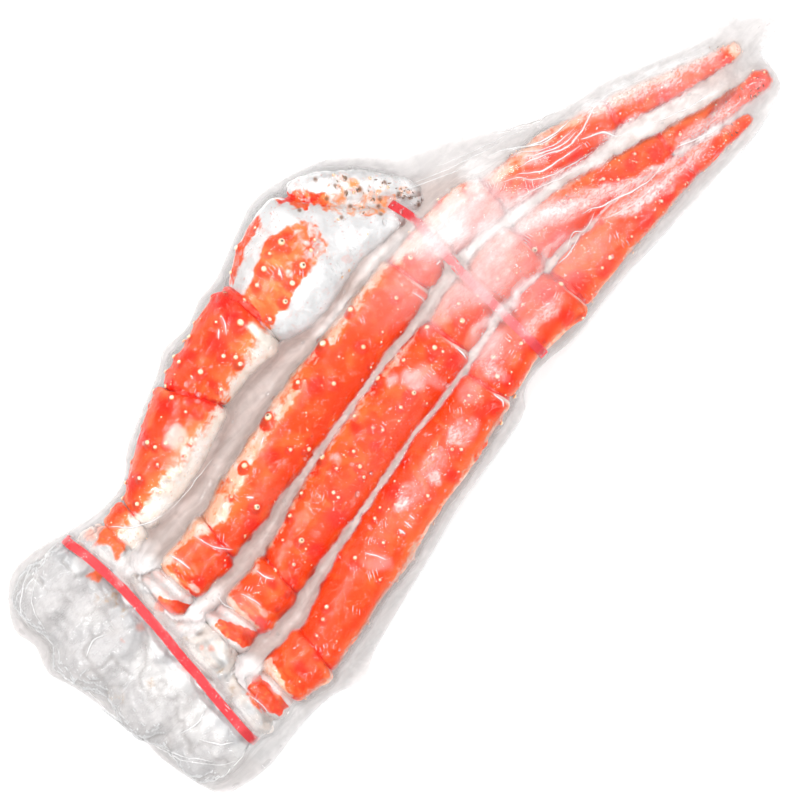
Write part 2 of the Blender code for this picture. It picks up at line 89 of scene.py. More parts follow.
# Spines that can be told apart from above: (x, y, size).
SPINE_PLACES = {
    "leg1": (
        (-77, 31, 1.9), (-51.5, 39.5, 2.4), (-29, 42, 1.5), (-26.5, 40, 1.0), (-7, 46.5, 1.9),
        (15, 48.5, 1.8), (-88, 13, 1.7), (-56, 21, 1.2), (-67.5, 20.5, 1.0), (-49, 15.5, 1.4),
        (-52, 16, 0.7), (-17.5, 29, 1.4), (6, 31.5, 1.4), (1.5, 22.5, 0.9), (18, 30, 0.7),
        (35, 37.5, 1.2), (-37, 28.5, 0.6), (-21.5, 37.5, 0.6), (-6, 36.5, 0.7), (-113, 2.5, 1.2),
        (-102, 7, 1.0), (-95, 1.5, 0.8), (-116, 19, 1.0), (-93, 25, 0.9), (-87, 31, 0.9), (14, 27, 0.7),
        (41, 40, 0.8), (26, 22, 0.8), (83, 40, 0.8), (83, 30, 0.9), (68, 41, 0.9), (98, 51, 1.2),
        (104, 50.5, 1.0), (97, 45, 1.2), (54, 46, 1.4), (53, 38.5, 0.8), (64, 39, 1.2), (84, 56, 1.5),
        (63, 55, 1.4), (119, 28, 0.9), (150, 36, 0.8), (200, 9, 1.1), (188, 28, 0.9), (225, 15, 0.9),
        (205, 17, 0.8),
    ),
    "leg2": (
        (-47, 6.5, 1.8), (-67.5, 1.5, 1.2), (-79, -2.5, 1.3), (-90, -8, 0.9), (-84, -15, 1.5),
        (-85, -19, 0.7), (-103, -16.5, 1.3), (-107, -28, 1.1), (-95, -20.5, 1.1), (-55.5, -9, 1.3),
        (-56, -12, 1.0), (-46, -2, 0.9), (-37.5, -9.5, 1.2), (-40, -14, 1.0), (-34, -1.5, 1.0),
        (-21, 9.8, 1.2), (-19, 0, 1.3), (-16.5, -4, 1.0), (-2, -2.7, 1.0), (0, 14.3, 1.9),
        (15, 16.5, 1.3), (15.5, 12.5, 1.2), (7.5, -2, 1.3), (35, 15, 1.8), (31, 6, 1.6), (32, 2.5, 1.0),
        (-7.5, -6.5, 0.8), (8.5, -10, 0.9), (37, -10.5, 0.9), (25.5, -9, 0.6), (-116, -30, 0.9),
        (64.5, 9.5, 1.0), (77, 8, 0.9), (101, 6, 1.8), (50, 6, 1.6), (55, 13, 1.0), (86, 4, 0.6),
        (128, 13, 0.9), (130.5, 10, 0.9), (150, 6, 1.0), (155, 1, 1.0), (170, 4, 0.9), (193, -5, 1.2),
        (212, -10, 0.9), (242, -9, 0.9), (245, -13, 0.9),
    ),
    "leg3": (
        (-55, -26.5, 1.5), (-88.5, -34, 1.5), (-105, -40, 1.0), (-98, -47, 1.2), (-71, -40, 1.3),
        (-56, -44, 0.9), (-50, -33, 1.1), (-44.5, -31, 0.9), (-38, -35, 0.9), (-112, -54, 0.8),
        (-30, -27, 0.9), (-12, -19.5, 1.4), (7, -17, 1.0), (29, -15, 1.0), (26, -23, 1.0),
        (1, -35.5, 1.0), (4, -38.5, 1.0), (15, -46, 1.1), (7, -46.5, 1.0), (-46, -47, 0.8),
        (-37, -36, 1.0), (48, -18, 1.4), (43, -26, 1.3), (-104, -50, 1.0), (-91.5, -55, 0.5),
        (-48, -58, 0.8), (16, -31, 0.8), (30, -27, 0.8), (-8, -31, 0.8), (-24, -43, 1.1),
        (-70, -56, 0.9), (86, -3, 1.2), (94, -4, 1.3), (75, -3, 1.2), (77, -10, 1.0), (97, -16, 1.6),
        (63, -23, 1.2), (94, -34, 1.6), (72, -30, 0.8), (124, -23.5, 1.3), (118, -24.5, 1.0),
        (148, -19, 0.8), (135, -9, 0.8), (163, -22, 1.0), (140, -24, 0.8), (172, -18.5, 0.8),
        (122, -4, 1.2),
    ),
    "claw": (
        (-118, 63.5, 1.7), (-103, 73.3, 1.4), (-102, 69.5, 1.2), (-97, 67, 1.2), (-107.5, 62.5, 0.9),
        (-128.5, 56, 1.3), (-136, 59, 1.0), (-116.5, 52, 0.9), (-108, 54, 1.2), (-95, 56, 0.9),
        (-88.5, 58, 0.7), (-102, 52.5, 0.9), (-79, 71, 1.0), (-78.5, 80.5, 1.4), (-77, 87, 1.2),
        (-76, 68, 0.9), (-74.5, 65.5, 1.2), (-64, 90.5, 1.3), (-51.5, 96, 1.4), (-59.5, 79.5, 1.7),
        (-70, 70, 1.1), (-64, 96, 1.4), (-46, 77.5, 1.3), (-42, 73, 1.3), (-43, 69.5, 1.5),
        (-59, 67, 1.3), (-37, 92, 0.9), (-26, 90.5, 1.6), (-25, 98, 1.9), (-28, 83, 2.0),
        (-30, 102, 1.3),
    ),
    "palm": (
        (-19, 89, 1.8), (-9, 90, 1.4), (-1.5, 93.5, 1.9), (14, 96.5, 2.3), (5.5, 97, 1.1),
        (2.5, 86.5, 1.5), (3.5, 78.5, 1.7), (13, 81.5, 2.0), (-5, 75, 1.5), (-17, 74, 1.3),
        (14, 92, 1.0), (21, 84, 1.2), (26, 86, 1.0), (-3, 110, 1.7), (-14, 104, 1.2), (10, 111, 0.9),
        (28, 64, 0.8), (23, 64, 0.8), (38, 63, 0.9), (42, 85, 0.8), (47, 70, 0.7),
    ),
}

# Lines along the limbs, as (x, y): beyond them the shell's flank is pale.
PALE_BEYOND = {
    "leg1": (
        (-125, 26), (-112, 21.5), (-100, 20.5), (-88, 25), (-70, 32), (-50, 36), (-38, 38), (-20, 43),
        (-5, 44), (5, 46.5), (20, 48), (40, 51), (60, 47), (90, 49), (110, 44), (150, 38), (180, 30),
        (215, 18), (245, 9),
    ),
    "claw": (
        (-150, 50), (-125, 52), (-100, 54.5), (-80, 57), (-66, 60), (-58, 64), (-40, 67), (-26, 70),
    ),
}

# The amber and pale sides of the two inner legs, where a side's edge is at 1: (which side, where amber
# starts and is full, its strength, its patches' size in millimetres and their ramp, where pale shell
# starts and is full).
SIDE_PAINT = {
    "leg2": (1, (0.32, 0.74), 0.85, 26, (-0.35, 0.10), (0.64, 0.94)),
    "leg3": (-1, (0.45, 0.85), 0.75, 30, (-0.30, 0.15), (0.78, 1.0)),
}

# Places on leg 1's pale flank where its shell shows amber: (x, y, reach).
SHOWN_PLACES = ((66, 57, 5), (82, 56, 7), (98, 51, 3), (108, 48, 5), (88, 58, 5))

# Deep red places: (x, y, reach).
DEEP_PLACES = {
    "leg1": (
        (-115, 12, 6), (-117, 3, 5), (-79, 6, 3.5), (-66, 24, 7), (5, 33, 5), (-15, 46, 8), (33, 37, 4),
        (-57, 38, 5), (-25, 34, 8), (-96, 8, 8), (62, 42, 4), (120, 28, 8), (150, 24, 8), (140, 36, 8),
        (200, 12, 8), (176, 17, 5), (235, 4, 5), (-135, 8, 6),
    ),
    "leg2": (
        (-110, -20, 4), (-102, -26, 5), (-64, -19, 8), (-25, 6, 5), (-6, 14, 5), (4, -2, 5), (27, 5, 5),
        (32, -5, 7), (-55, 5, 5), (-83, -24, 7), (-24, -7, 5), (113, 0, 8), (165, 2, 6), (178, -2, 7),
        (238, -15, 9), (-128, -30, 5),
    ),
    "leg3": (
        (-118, -60, 4), (-75, -43, 5), (-78, -33, 6), (30, -36, 8), (24, -33, 7), (-20, -23, 6),
        (-35, -30, 8), (44, -32, 5), (66, -28, 4), (88, -15, 8), (104, -21, 9), (118, -25, 7),
        (88, -30, 7), (150, -25, 8), (165, -22, 9), (182, -23, 8), (200, -26, 5), (-8, -45, 6),
        (-130, -60, 6),
    ),
    "claw": (
        (-77, 82, 4), (-74, 73, 3.5), (-70, 65, 4), (-66, 60, 4), (-58, 91, 7), (-28, 96, 7),
        (-60, 71, 5), (-45, 84, 8), (-105, 78, 8), (-85, 80, 8), (-125, 66, 7), (-134, 53, 4),
    ),
}

# Orange slivers of shell at the legs' roots, and pale wedges of joint skin beside them, as outlines.
ROOT_SLIVERS = (
    ((-159, 14), (-153, 16), (-149, 9), (-145, 0), (-144, -5), (-152, -2), (-156, 1)),
    ((-144, -14), (-140, -13), (-136, -22), (-131, -33), (-131, -37), (-142, -32), (-145, -22)),
    ((-157, -49), (-150, -46), (-144, -41), (-146, -50), (-147, -69), (-154, -69), (-158, -60)),
    (
        (-159, 57), (-153, 58), (-147, 58), (-141, 52), (-141, 46), (-147, 46), (-150, 43), (-156, 44),
        (-153, 50),
    ),
    ((-172, 49), (-166, 47), (-165, 42), (-169, 43)),
)
ROOT_WEDGES = (
    ((-155, 28), (-148, 34), (-141, 32), (-141, 12), (-143, -3), (-147, 5), (-153, 16)),
    ((-139, -12), (-134, -7), (-129, -9), (-129, -22), (-130, -36), (-134, -28), (-138, -18)),
    ((-147, -45), (-141, -41), (-136, -46), (-140, -58), (-144, -69), (-146, -56)),
)

# Film that stands off the shell and looks white, partly milky film and partly painted highlights and
# painted light: (x, y, half length, half width, degrees, strength).
HAZE_AND_HIGHLIGHT_PLACES = (
    (82, 22, 44, 26, -8, 0.34), (66, -14, 32, 12, -4, 0.20), (112, -12, 26, 9, -6, 0.18),
    (78, 47, 25, 11, -8, 0.80), (46, 54, 16, 6, -5, 0.60), (90, 32, 24, 8, -10, 0.50),
    (28, 40, 18, 12, 0, 0.10), (94, 22, 26, 8, -8, 0.45), (121, 12, 24, 6, -24, 0.42),
    (107, 45, 9, 12, 0, 0.50), (62, 14, 24, 8, -8, 0.30), (110, 52, 12, 6, -20, 0.60),
    (182, 31, 16, 6, -18, 0.80), (206, 22, 18, 5, -22, 0.72), (228, 14, 12, 4, -24, 0.60),
    (133, 38, 6, 3, -30, 0.45), (76, -3, 13, 4, 0, 0.45), (80, -22, 12, 4, 0, 0.50),
    (50, -12, 10, 6, 0, 0.40), (205, -13, 20, 4.5, -12, 0.55), (160, -14, 26, 4, -12, 0.55),
    (3, 8.5, 3.4, 3, 0, 0.45), (11, 2.5, 4.5, 5.5, 20, 0.50), (18, -3, 4, 8, 0, 0.30),
    (-44, 1.5, 3, 2.2, 0, 0.40), (6, -32, 4.0, 3, -30, 0.72), (13, -35, 7, 4, 0, 0.40),
    (-16, -38, 2.8, 4.2, 20, 0.75), (-11, -33, 8, 5, 10, 0.30), (-36, -38, 2.6, 3.4, 0, 0.72),
    (-28, -36, 8, 5, 10, 0.26), (-66, -50, 7, 3.4, -50, 0.26), (28, -22, 6, 7, 20, 0.22),
    (43, -22, 4, 7, 0, 0.30), (-90, 50, 18, 3, 8, 0.40), (-124, 44, 12, 3, -12, 0.40),
    (6, 53, 12, 3.6, 6, 0.60), (-20, -8, 60, 7, 10, 0.04), (-20, -36, 40, 8, 10, 0.07),
    (215, 9, 24, 7, -22, 0.16), (232, -14, 18, 6, -10, 0.16), (-150, -7, 9, 6, 0, 0.85),
    (-146, -42, 6, 5, 20, 0.85), (-148, 37, 10, 6, 0, 0.90), (-138, -3, 7, 4, 0, 0.70),
    (-154, 36, 8, 5, 0, 0.80), (-158, 4, 5, 10, 0, 0.40), (-150, -74, 6, 4, 0, 0.50),
    (-99, 56, 6, 5, 0, 0.24), (-92, 65, 5, 4, 0, 0.34), (-130, -20, 8, 12, 0, 0.12),
    (69, -20, 5, 5, 0, 0.40),
)

# Long veils that run with the limbs, partly milky film and partly a painted reflection of the lights:
# (half width, strength, path of (x, y)).
VEILS_AND_REFLECTIONS = (
    (4.2, 0.62, ((92, 34), (108, 29), (128, 24), (150, 18), (172, 13), (196, 5), (222, -3), (240, -6))),
    (2.4, 0.60, ((158, 22), (176, 17), (200, 9), (226, 1))),
    (3.2, 0.58, ((104, 18), (124, 11), (142, 2), (160, -6), (182, -12), (206, -17), (224, -22))),
    (2.0, 0.65, ((136, 12), (150, 1), (168, -7), (190, -11))),
    (2.4, 0.55, ((140, -10), (160, -15), (184, -17), (206, -20))),
    (3.0, 0.60, ((150, 44), (172, 37), (196, 30), (222, 19), (240, 11))),
    (2.6, 0.50, ((40, -4), (60, -3), (84, -4), (104, -1), (122, 0))),
)

# Crests of folds that stand up in the film: paths of (x, y).
FOLDS = (
    ((112, 41), (119, 37.5), (124, 31), (132, 26.5), (142, 23), (155, 19.5)),
    ((121, 38.5), (126, 34), (133, 30), (142, 28), (154, 26)),
    ((122, 41), (129, 38.5), (137, 35.5), (145, 31.5), (153, 30), (160, 31), (167, 33.5), (173, 35),
     (181, 34)),
    ((128, 42), (135, 38.5), (142, 34.5), (150, 32.5), (158, 32.8)),
    ((124, 47.5), (132, 43.5), (139, 38), (147, 35), (158, 35)),
    ((126, 50), (134, 45.5), (141, 40.5), (150, 38.5)),
    ((118, 55), (125, 52), (131, 47.8), (138, 43), (147, 40), (160, 38.5)),
    ((70, 76), (86, 68), (102, 61), (118, 56)), ((80, 73), (96, 66), (114, 60), (130, 54.5)),
    ((96, 70), (112, 63.5), (130, 57), (146, 49)), ((128, 62), (144, 53), (160, 46)),
    ((156, 28), (166, 23), (170, 17), (176, 14)), ((108, 30), (120, 27), (136, 21.5), (152, 16)),
    ((112, -5.5), (120, -2), (126, -5), (135, -2.5)), ((104, -8), (112, -7.5), (122, -5)),
    ((130, 2), (146, -5), (162, -9.5), (178, -11)), ((136, -8), (152, -13), (170, -14.5)),
    ((186, -8), (198, -13), (212, -17)), ((186, 9), (204, 2), (222, -3)),
    ((-120, 25), (-118.5, 18), (-115, 11), (-111, 6)), ((-111, -9), (-109.5, -14), (-107, -19)),
    ((42, 34), (43.6, 29), (43, 25)), ((38, -1), (38.8, -5), (38, -9)),
    ((35, -31), (36, -36), (34, -39)), ((-147, 58), (-143, 54), (-138, 49), (-131, 45), (-122, 42.3)),
    ((-122, 42.3), (-105, 43), (-86, 45.5)), ((-38, 83.5), (-35, 88), (-33, 93)),
    ((-42, 85), (-38.5, 88.5)), ((1.5, 84), (4, 89)), ((-88, 20), (-85.5, 17)), ((-65, 33), (-60, 35)),
    ((-215, -15), (-206, -40), (-192, -62)), ((-217, -2), (-209, -36), (-197, -58), (-184, -70)),
    ((-212, 48), (-206, 60), (-192, 70), (-178, 74)), ((-218, 30), (-214, 14), (-214, -8)),
    ((-206, 44), (-200, 58), (-188, 66)), ((-196, -40), (-184, -42), (-176, -40)),
    ((-189, -48), (-184, -57), (-178, -62)), ((-199, 20), (-192, 23), (-184, 21)),
    ((-66, -41), (-63, -46), (-61, -51)), ((-46, -45), (-45, -49)), ((-41, -44), (-40.5, -49)),
    ((-37, -43.5), (-36.5, -47)), ((-134, -3), (-133.5, -10), (-131, -16)),
    ((-124, -12), (-122, -18), (-121, -24)), ((-136, 27), (-134, 21), (-133, 14)),
    ((-156, -50), (-155.5, -57), (-156, -66)),
)

# Small clear blisters and drops under the film, apart from scattered ones: (x, y, reach, count).
BLISTERS = (
    (-147, -33, 3.5, 7), (-128, -37, 3, 5), (-164, -43, 2.5, 4), (-152, 52, 8, 6), (50, 6, 4, 3),
    (128, 12, 4, 4), (44, -20, 6, 6), (222, 17, 8, 7), (200, 10, 9, 8), (186, 28, 7, 6),
    (140, 45, 12, 9), (188, -12, 12, 10), (-20, -32, 30, 16), (-40, 2, 40, 16), (-55, 25, 50, 14),
    (-100, 66, 24, 14), (-60, 84, 14, 8), (90, 10, 40, 20), (-140, 0, 18, 12), (20, 64, 10, 5),
    (70, 66, 12, 8),
)

# The dark joint between the claw's merus and carpus, deep red with brown painted shade along it: (x, y,
# reach).
CLAW_JOINT = (
    (-77.5, 86, 2.6), (-75, 81, 3.0), (-72.5, 77, 3.0), (-70, 73, 2.6), (-68, 69, 2.4), (-66, 65, 2.6),
    (-64, 61.5, 2.2),
)

# Warm places past that joint, and deep red ones at the carpus's far end: (x, y, reach).
CLAW_WARM = ((-61, 62, 5), (-57, 66, 4))
CARPUS_DEEP = ((-28, 97, 9), (-30, 88, 7))

# The cream patch on the claw's merus and the cream lobe of its carpus, as outlines.
MERUS_PATCH = ((-98, 68), (-94, 70.5), (-86, 70), (-85, 65), (-88, 60), (-96, 61))
CARPUS_LOBE = (
    (-28, 80), (-25, 79), (-23.5, 72), (-21.5, 66), (-20, 58), (-27, 57), (-31, 61), (-28, 68),
    (-28.5, 74),
)

# The palm's orange patch, red streak, pink place and painted shade, as outlines, and its lower edge's
# line, where a brown line is partly painted shade in the groove.
PALM_PATCH = (
    (-25, 71), (-24, 86), (-18, 91), (-10, 94), (0, 98.5), (6, 102), (14, 103.5), (20, 100), (27, 99),
    (31, 94), (30, 80), (22, 78.5), (14, 76), (4, 75.5), (-4, 73), (-12, 74), (-18, 71.5),
)
PALM_STREAK = (
    (-20, 101), (-13, 106), (-4, 111), (8, 114), (15, 115), (13, 110), (4, 108.5), (-6, 105),
    (-15, 100),
)
PALM_PINK = ((2, 78), (4, 86), (12, 88), (16, 84), (15, 78))
PALM_SHADE = ((-22, 91), (-10, 97), (0, 101), (14, 106), (14, 110), (0, 108), (-12, 104), (-22, 98))
PALM_SHADED_EDGE = ((-24, 68), (-22, 61), (-15, 57.5), (0, 55.5), (12, 57.5), (22, 60))
PALM_DEEP = ((10, 99, 7), (-2, 91, 5), (17, 97, 5), (-12, 89, 4))

# The claw's mouth: the area of its joint skin, its red wedge and pale rim as outlines, white lumps and
# orange places as (x, y, reach), and brown spots of one size as (x, y).
MOUTH_AREA = (
    (20, 121), (36, 121), (56, 104), (76, 90), (88, 66), (72, 60), (48, 74), (34, 90), (20, 106),
)
MOUTH_WEDGE = ((27, 117), (32, 117), (40, 108), (46, 99), (43, 93), (38, 97), (31, 104), (27, 110))
MOUTH_RIM = (
    (43, 103), (52, 102), (62, 98), (68, 89), (74, 82), (80, 68), (68, 70), (58, 74), (50, 79),
    (46, 86), (42, 92),
)
MOUTH_LUMPS = ((55, 87, 5), (66, 87, 5), (47, 107, 6), (70, 78, 4), (52, 96, 3))
MOUTH_ORANGE = ((45, 97, 4), (50, 101, 3), (55, 77, 4), (63, 76, 4), (60, 92, 3), (40, 96, 4))
MOUTH_BROWN = (
    (31.5, 102), (45, 96.5), (53, 98.5), (59, 97.5), (54, 92), (60.5, 88.5), (51, 86), (71.5, 82),
    (61, 76), (72, 73), (59, 72.5), (75, 68), (76, 63), (79, 62), (48, 107.5), (44, 85), (64, 78),
)
BROWN_SPOT = 1.7

# The shoulder's brown stains and traces of orange: (x, y, reach).
SHOULDER_STAINS = (
    (-173, 34, 4), (-168, 32, 4), (-176, 36, 3), (-170, 23, 2.5), (-171, 28, 2.5), (-187, -12, 4),
    (-204, -2, 3.5), (-202, -6, 3), (-160, -8, 4), (-159, -32, 3), (-162, -44, 3), (-157, -31, 2.5),
)
SHOULDER_TRACES = (
    (-153, -21, 3), (-157, -18, 2), (-170, 12, 4), (-181, 13, 2.5), (-156, 62, 6), (-150, 60, 6),
    (-168, -18, 4), (-157, -3, 4), (-164, 60, 4),
)

# Rows of spines along a segment: (angle around, gap between spines, size).
LONG_ROWS = ((98, 20, 1.3), (-98, 20, 1.3), (150, 30, 0.9), (-150, 30, 0.9))
LOW_ROWS = ((98, 15, 0.8), (-98, 15, 0.8), (170, 22, 0.7))
CLAW_ROWS = ((88, 13, 1.2), (-98, 18, 1.0), (150, 26, 0.9), (-150, 26, 0.9))

# Each leg segment's rows of spines, and how many grains lie between them.
LEG_SPINES = {
    "ischium": (LOW_ROWS, 12),
    "merus": (LONG_ROWS, 50),
    "carpus": (LONG_ROWS, 24),
    "propodus": (LOW_ROWS, 44),
    "dactylus": (LOW_ROWS, 30),
}
CLAW_GRAINS = 16

# The finger's few spines: (share along, angle around).
FINGER_SPINES = ((0.35, 40), (0.5, -20), (0.62, 30), (0.75, 0))

# Dark bristles by the claw's mouth and on the legs' tips: (x, y, reach, count).
BRISTLES = (
    (57, 81, 4.0, 14), (61, 79, 2.0, 6), (74, 73, 3.0, 9), (78, 69, 2.5, 10), (76, 63, 3.0, 6),
    (66, 84, 5.0, 5), (236, 14, 5.0, 12), (222, 19, 6.0, 8), (236, -14, 6.0, 12), (224, -12, 5.0, 6),
    (213, -21, 5.0, 8), (208, 26, 6.0, 5), (52, 86, 2.0, 4), (53, 98, 2.5, 3), (59, 97.5, 2.0, 4),
    (54, 92, 1.5, 3), (60.5, 88, 1.5, 3), (71, 82, 2.0, 4),
)


# ---------------------------------------------------------------- noise
HASH_FACTORS = (73856093, 19349663, 83492791)   # large odd numbers that scatter the lattice's cells
HASH_MIX = 1274126177


def lattice(ix, iy, iz, seed):
    """Repeatable values from -1 to 1 on a whole-number lattice."""
    fx, fy, fz = HASH_FACTORS
    n = ix * fx ^ iy * fy ^ iz * fz ^ (seed * 9176 + 1013)
    n = (n ^ (n >> 13)) * HASH_MIX & 0xFFFFFFFF
    n = (n ^ (n >> 16)) & 0xFFFF
    return n / 32767.5 - 1.0


def noise(points, size, seed):
    """Smooth noise from about -1 to 1, with features of the given size, at an array of points."""
    p = points / size
    cell = np.floor(p).astype(np.int64)
    f = p - cell
    f = f * f * f * (f * (f * 6 - 15) + 10)
    total = np.zeros(len(p))
    for dx in (0, 1):
        for dy in (0, 1):
            for dz in (0, 1):
                weight = (
                    (f[:, 0] if dx else 1 - f[:, 0])
                    * (f[:, 1] if dy else 1 - f[:, 1])
                    * (f[:, 2] if dz else 1 - f[:, 2])
                )
                total += weight * lattice(cell[:, 0] + dx, cell[:, 1] + dy, cell[:, 2] + dz, seed)
    return total


def layered(points, size, seed, layers=3, fade=0.5):
    """Noise in layers, each half the size of the one before."""
    total = np.zeros(len(points))
    share, whole = 1.0, 0.0
    for layer in range(layers):
        total += share * noise(points, size / 2 ** layer, seed + layer * 7)
        whole += share
        share *= fade
    return total / whole


def crumpled(points, size, seed, sheets=5):
    """Flat facets that meet in sharp creases, as on crumpled paper, from about -1 to 1."""
    rng = np.random.default_rng(seed)
    total = np.zeros(len(points))
    for sheet in range(sheets):
        way = rng.normal(size=3)
        way /= np.linalg.norm(way)
        bent = points @ way / (size * rng.uniform(0.7, 1.5))
        bent += 0.5 * noise(points, 2.0 * size, seed + sheet)
        total += np.abs((bent + rng.uniform()) % 1.0 * 2 - 1) * 2 - 1
    return total / sheets * 1.6


def smooth(value, low, high):
    """0 below low, 1 above high and an eased ramp between, also when low is the larger."""
    t = np.clip((value - low) / (high - low), 0.0, 1.0)
    return t * t * (3.0 - 2.0 * t)


def table_xy(points):
    """The X and Y of an array of points, counted as the tables count them, in millimetres."""
    return points[:, :2] / MM - TABLE_ORIGIN


def spots(xy, places):
    """How far each point lies within the nearest of some round places (x, y, reach), from 0 to 1."""
    result = np.zeros(len(xy))
    for x, y, reach in places:
        distance = np.hypot(xy[:, 0] - x, xy[:, 1] - y)
        result = np.maximum(result, smooth(distance, reach, reach * 0.25))
    return result


def from_path(xy, path):
    """Each point's distance to a path, and how far along the path (0 to 1) its nearest place is."""
    path = np.array(path, dtype=float)
    runs = np.diff(path, axis=0)
    lengths = np.linalg.norm(runs, axis=1)
    starts = np.concatenate([[0], np.cumsum(lengths)])
    best = np.full(len(xy), 1e9)
    share = np.zeros(len(xy))
    for a, run, length, start in zip(path, runs, lengths, starts):
        t = np.clip(((xy - a) @ run) / length ** 2, 0, 1)
        distance = np.linalg.norm(xy - a - t[:, None] * run, axis=1)
        closer = distance < best
        best[closer] = distance[closer]
        share[closer] = (start + t[closer] * length) / starts[-1]
    return best, share


def rounded_path(path, steps=5):
    """A path with its corners rounded by a curve through its points."""
    path = [np.array(p, dtype=float) for p in path]
    ends = [2 * path[0] - path[1]] + path + [2 * path[-1] - path[-2]]
    result = []
    for a, b, c, d in zip(ends, ends[1:], ends[2:], ends[3:]):
        for step in range(steps):
            t = step / steps
            result.append(0.5 * (2 * b + (c - a) * t + (2 * a - 5 * b + 4 * c - d) * t ** 2
                                 + (3 * b - a - 3 * c + d) * t ** 3))
    result.append(path[-1])
    return result


def within(xy, outline, blur=1.0):
    """1 inside a closed outline of (x, y), 0 outside it, with a blurred edge."""
    outline = np.array(outline, dtype=float)
    distance, _ = from_path(xy, np.vstack([outline, outline[:1]]))
    signed = np.where(inside(xy, outline), distance, -distance)
    return smooth(signed, -blur, blur)


def above_line(xy, line):
    """How far each point lies on the +Y side of a line along X, in millimetres."""
    line = np.array(line, dtype=float)
    return xy[:, 1] - np.interp(xy[:, 0], line[:, 0], line[:, 1])


def inside(points, outline):
    """Which points lie inside a closed outline."""
    result = np.zeros(len(points), bool)
    for (ax, ay), (bx, by) in zip(outline, np.roll(outline, -1, axis=0)):
        if ay == by:
            continue
        crosses = (ay > points[:, 1]) != (by > points[:, 1])
        at = (bx - ax) * (points[:, 1] - ay) / (by - ay) + ax
        result ^= crosses & (points[:, 0] < at)
    return result


# ---------------------------------------------------------------- materials
class Graph:
    """A material's nodes, made one expression at a time."""

    def __init__(self, name):
        self.material = bpy.data.materials.new(name)
        self.material.use_nodes = True
        self.tree = self.material.node_tree
        self.shader = self.tree.nodes["Principled BSDF"]
        self.output = self.tree.nodes["Material Output"]
        self.place = self.add("ShaderNodeTexCoord").outputs["Object"]

    def add(self, kind, **settings):
        """A new node with some of its properties set."""
        node = self.tree.nodes.new(kind)
        for key, value in settings.items():
            setattr(node, key, value)
        return node

    def link(self, source, socket):
        """Joins an output to an input."""
        self.tree.links.new(source, socket)

    def fill(self, socket, value):
        """Gives a socket a number or colour, or links another socket to it."""
        if isinstance(value, bpy.types.NodeSocket):
            self.link(value, socket)
        else:
            socket.default_value = value

    def attribute(self, name):
        """One of the mesh's masks."""
        return self.add("ShaderNodeAttribute", attribute_name=name).outputs["Fac"]

    def noise(self, size, detail=3.0, distortion=0.0, stretch=None):
        """Noise with features of a size; stretch is (its scale along X, Y and Z, a turn about Z)."""
        node = self.add("ShaderNodeTexNoise")
        node.inputs["Scale"].default_value = 1.0 / size
        node.inputs["Detail"].default_value = detail
        node.inputs["Distortion"].default_value = distortion
        place = self.place
        if stretch:
            mapping = self.add("ShaderNodeMapping")
            mapping.inputs["Rotation"].default_value = (0.0, 0.0, stretch[1])
            mapping.inputs["Scale"].default_value = stretch[0]
            self.link(place, mapping.inputs["Vector"])
            place = mapping.outputs["Vector"]
        self.link(place, node.inputs["Vector"])
        return node.outputs["Fac"]

    def ramp(self, value, low, high, to_low=0.0, to_high=1.0):
        """An eased ramp from to_low, where the value is low, to to_high, where it is high."""
        node = self.add("ShaderNodeMapRange", interpolation_type="SMOOTHSTEP")
        for socket, number in zip(node.inputs[1:5], (low, high, to_low, to_high)):
            socket.default_value = number
        self.link(value, node.inputs[0])
        return node.outputs[0]

    def maths(self, operation, a, b):
        """The result of one operation on two values, which may be numbers or outputs."""
        node = self.add("ShaderNodeMath", operation=operation)
        self.fill(node.inputs[0], a)
        self.fill(node.inputs[1], b)
        return node.outputs[0]

    def mix(self, factor, a, b):
        """A mix of two colours, which may be tuples or outputs."""
        node = self.add("ShaderNodeMix", data_type="RGBA")
        self.fill(node.inputs["Factor"], factor)
        for socket, colour in ((node.inputs[6], a), (node.inputs[7], b)):
            self.fill(socket, (*colour, 1.0) if isinstance(colour, tuple) else colour)
        return node.outputs[2]

    def product(self, a, b):
        """Two values multiplied."""
        return self.maths("MULTIPLY", a, b)

    def blotched(self, colour, other, strength, noise, low, high):
        """A colour with blotches of another where some noise, given by its settings, is high."""
        return self.mix(self.ramp(self.noise(*noise), low, high, 0.0, strength), colour, other)

    def painted(self, colour, name, other):
        """A colour with another over it where a mask of the mesh says so."""
        return self.mix(self.attribute(name), colour, other)

    def either(self, share, first, second):
        """A mix of two shaders."""
        node = self.add("ShaderNodeMixShader")
        for socket, source in zip(node.inputs, (share, first, second)):
            self.link(source, socket)
        return node.outputs[0]

    def surface(self, colour, grain, smoothest, roughest, normal=None, specular=None):
        """Joins up the shader with a colour, an uneven roughness, and relief and gloss if given."""
        self.link(colour, self.shader.inputs["Base Color"])
        self.link(self.ramp(grain, 0.3, 0.7, smoothest, roughest), self.shader.inputs["Roughness"])
        if normal is not None:
            self.link(normal, self.shader.inputs["Normal"])
        if specular is not None:
            self.shader.inputs["Specular IOR Level"].default_value = specular
        return self.material

    def bump(self, height, distance, strength=1.0):
        """A normal that shows a height as relief."""
        node = self.add("ShaderNodeBump")
        node.inputs["Distance"].default_value = distance
        node.inputs["Strength"].default_value = strength
        self.link(height, node.inputs["Height"])
        return node.outputs["Normal"]


# The shell's colours, from its deepest pigment to bare shell.
PIT_RED = (0.80, 0.030, 0.004)
DEEP = (0.95, 0.014, 0.002)
GRIT = (0.62, 0.10, 0.03)
ORANGE = (0.955, 0.066, 0.004)
LIGHT_ORANGE = (0.98, 0.15, 0.030)
SALMON = (0.96, 0.22, 0.13)
AMBER = (0.98, 0.20, 0.040)
CLAW_PATCH = (0.98, 0.28, 0.08)
LIGHT_PATCH = (0.98, 0.36, 0.12)
BLUSH = (0.94, 0.56, 0.39)
CREAM = (0.94, 0.80, 0.62)
CLAW_CREAM = (0.95, 0.85, 0.76)
IVORY = (0.95, 0.88, 0.80)
WHITE = (0.77, 0.77, 0.77)
BROWN = (0.26, 0.12, 0.06)

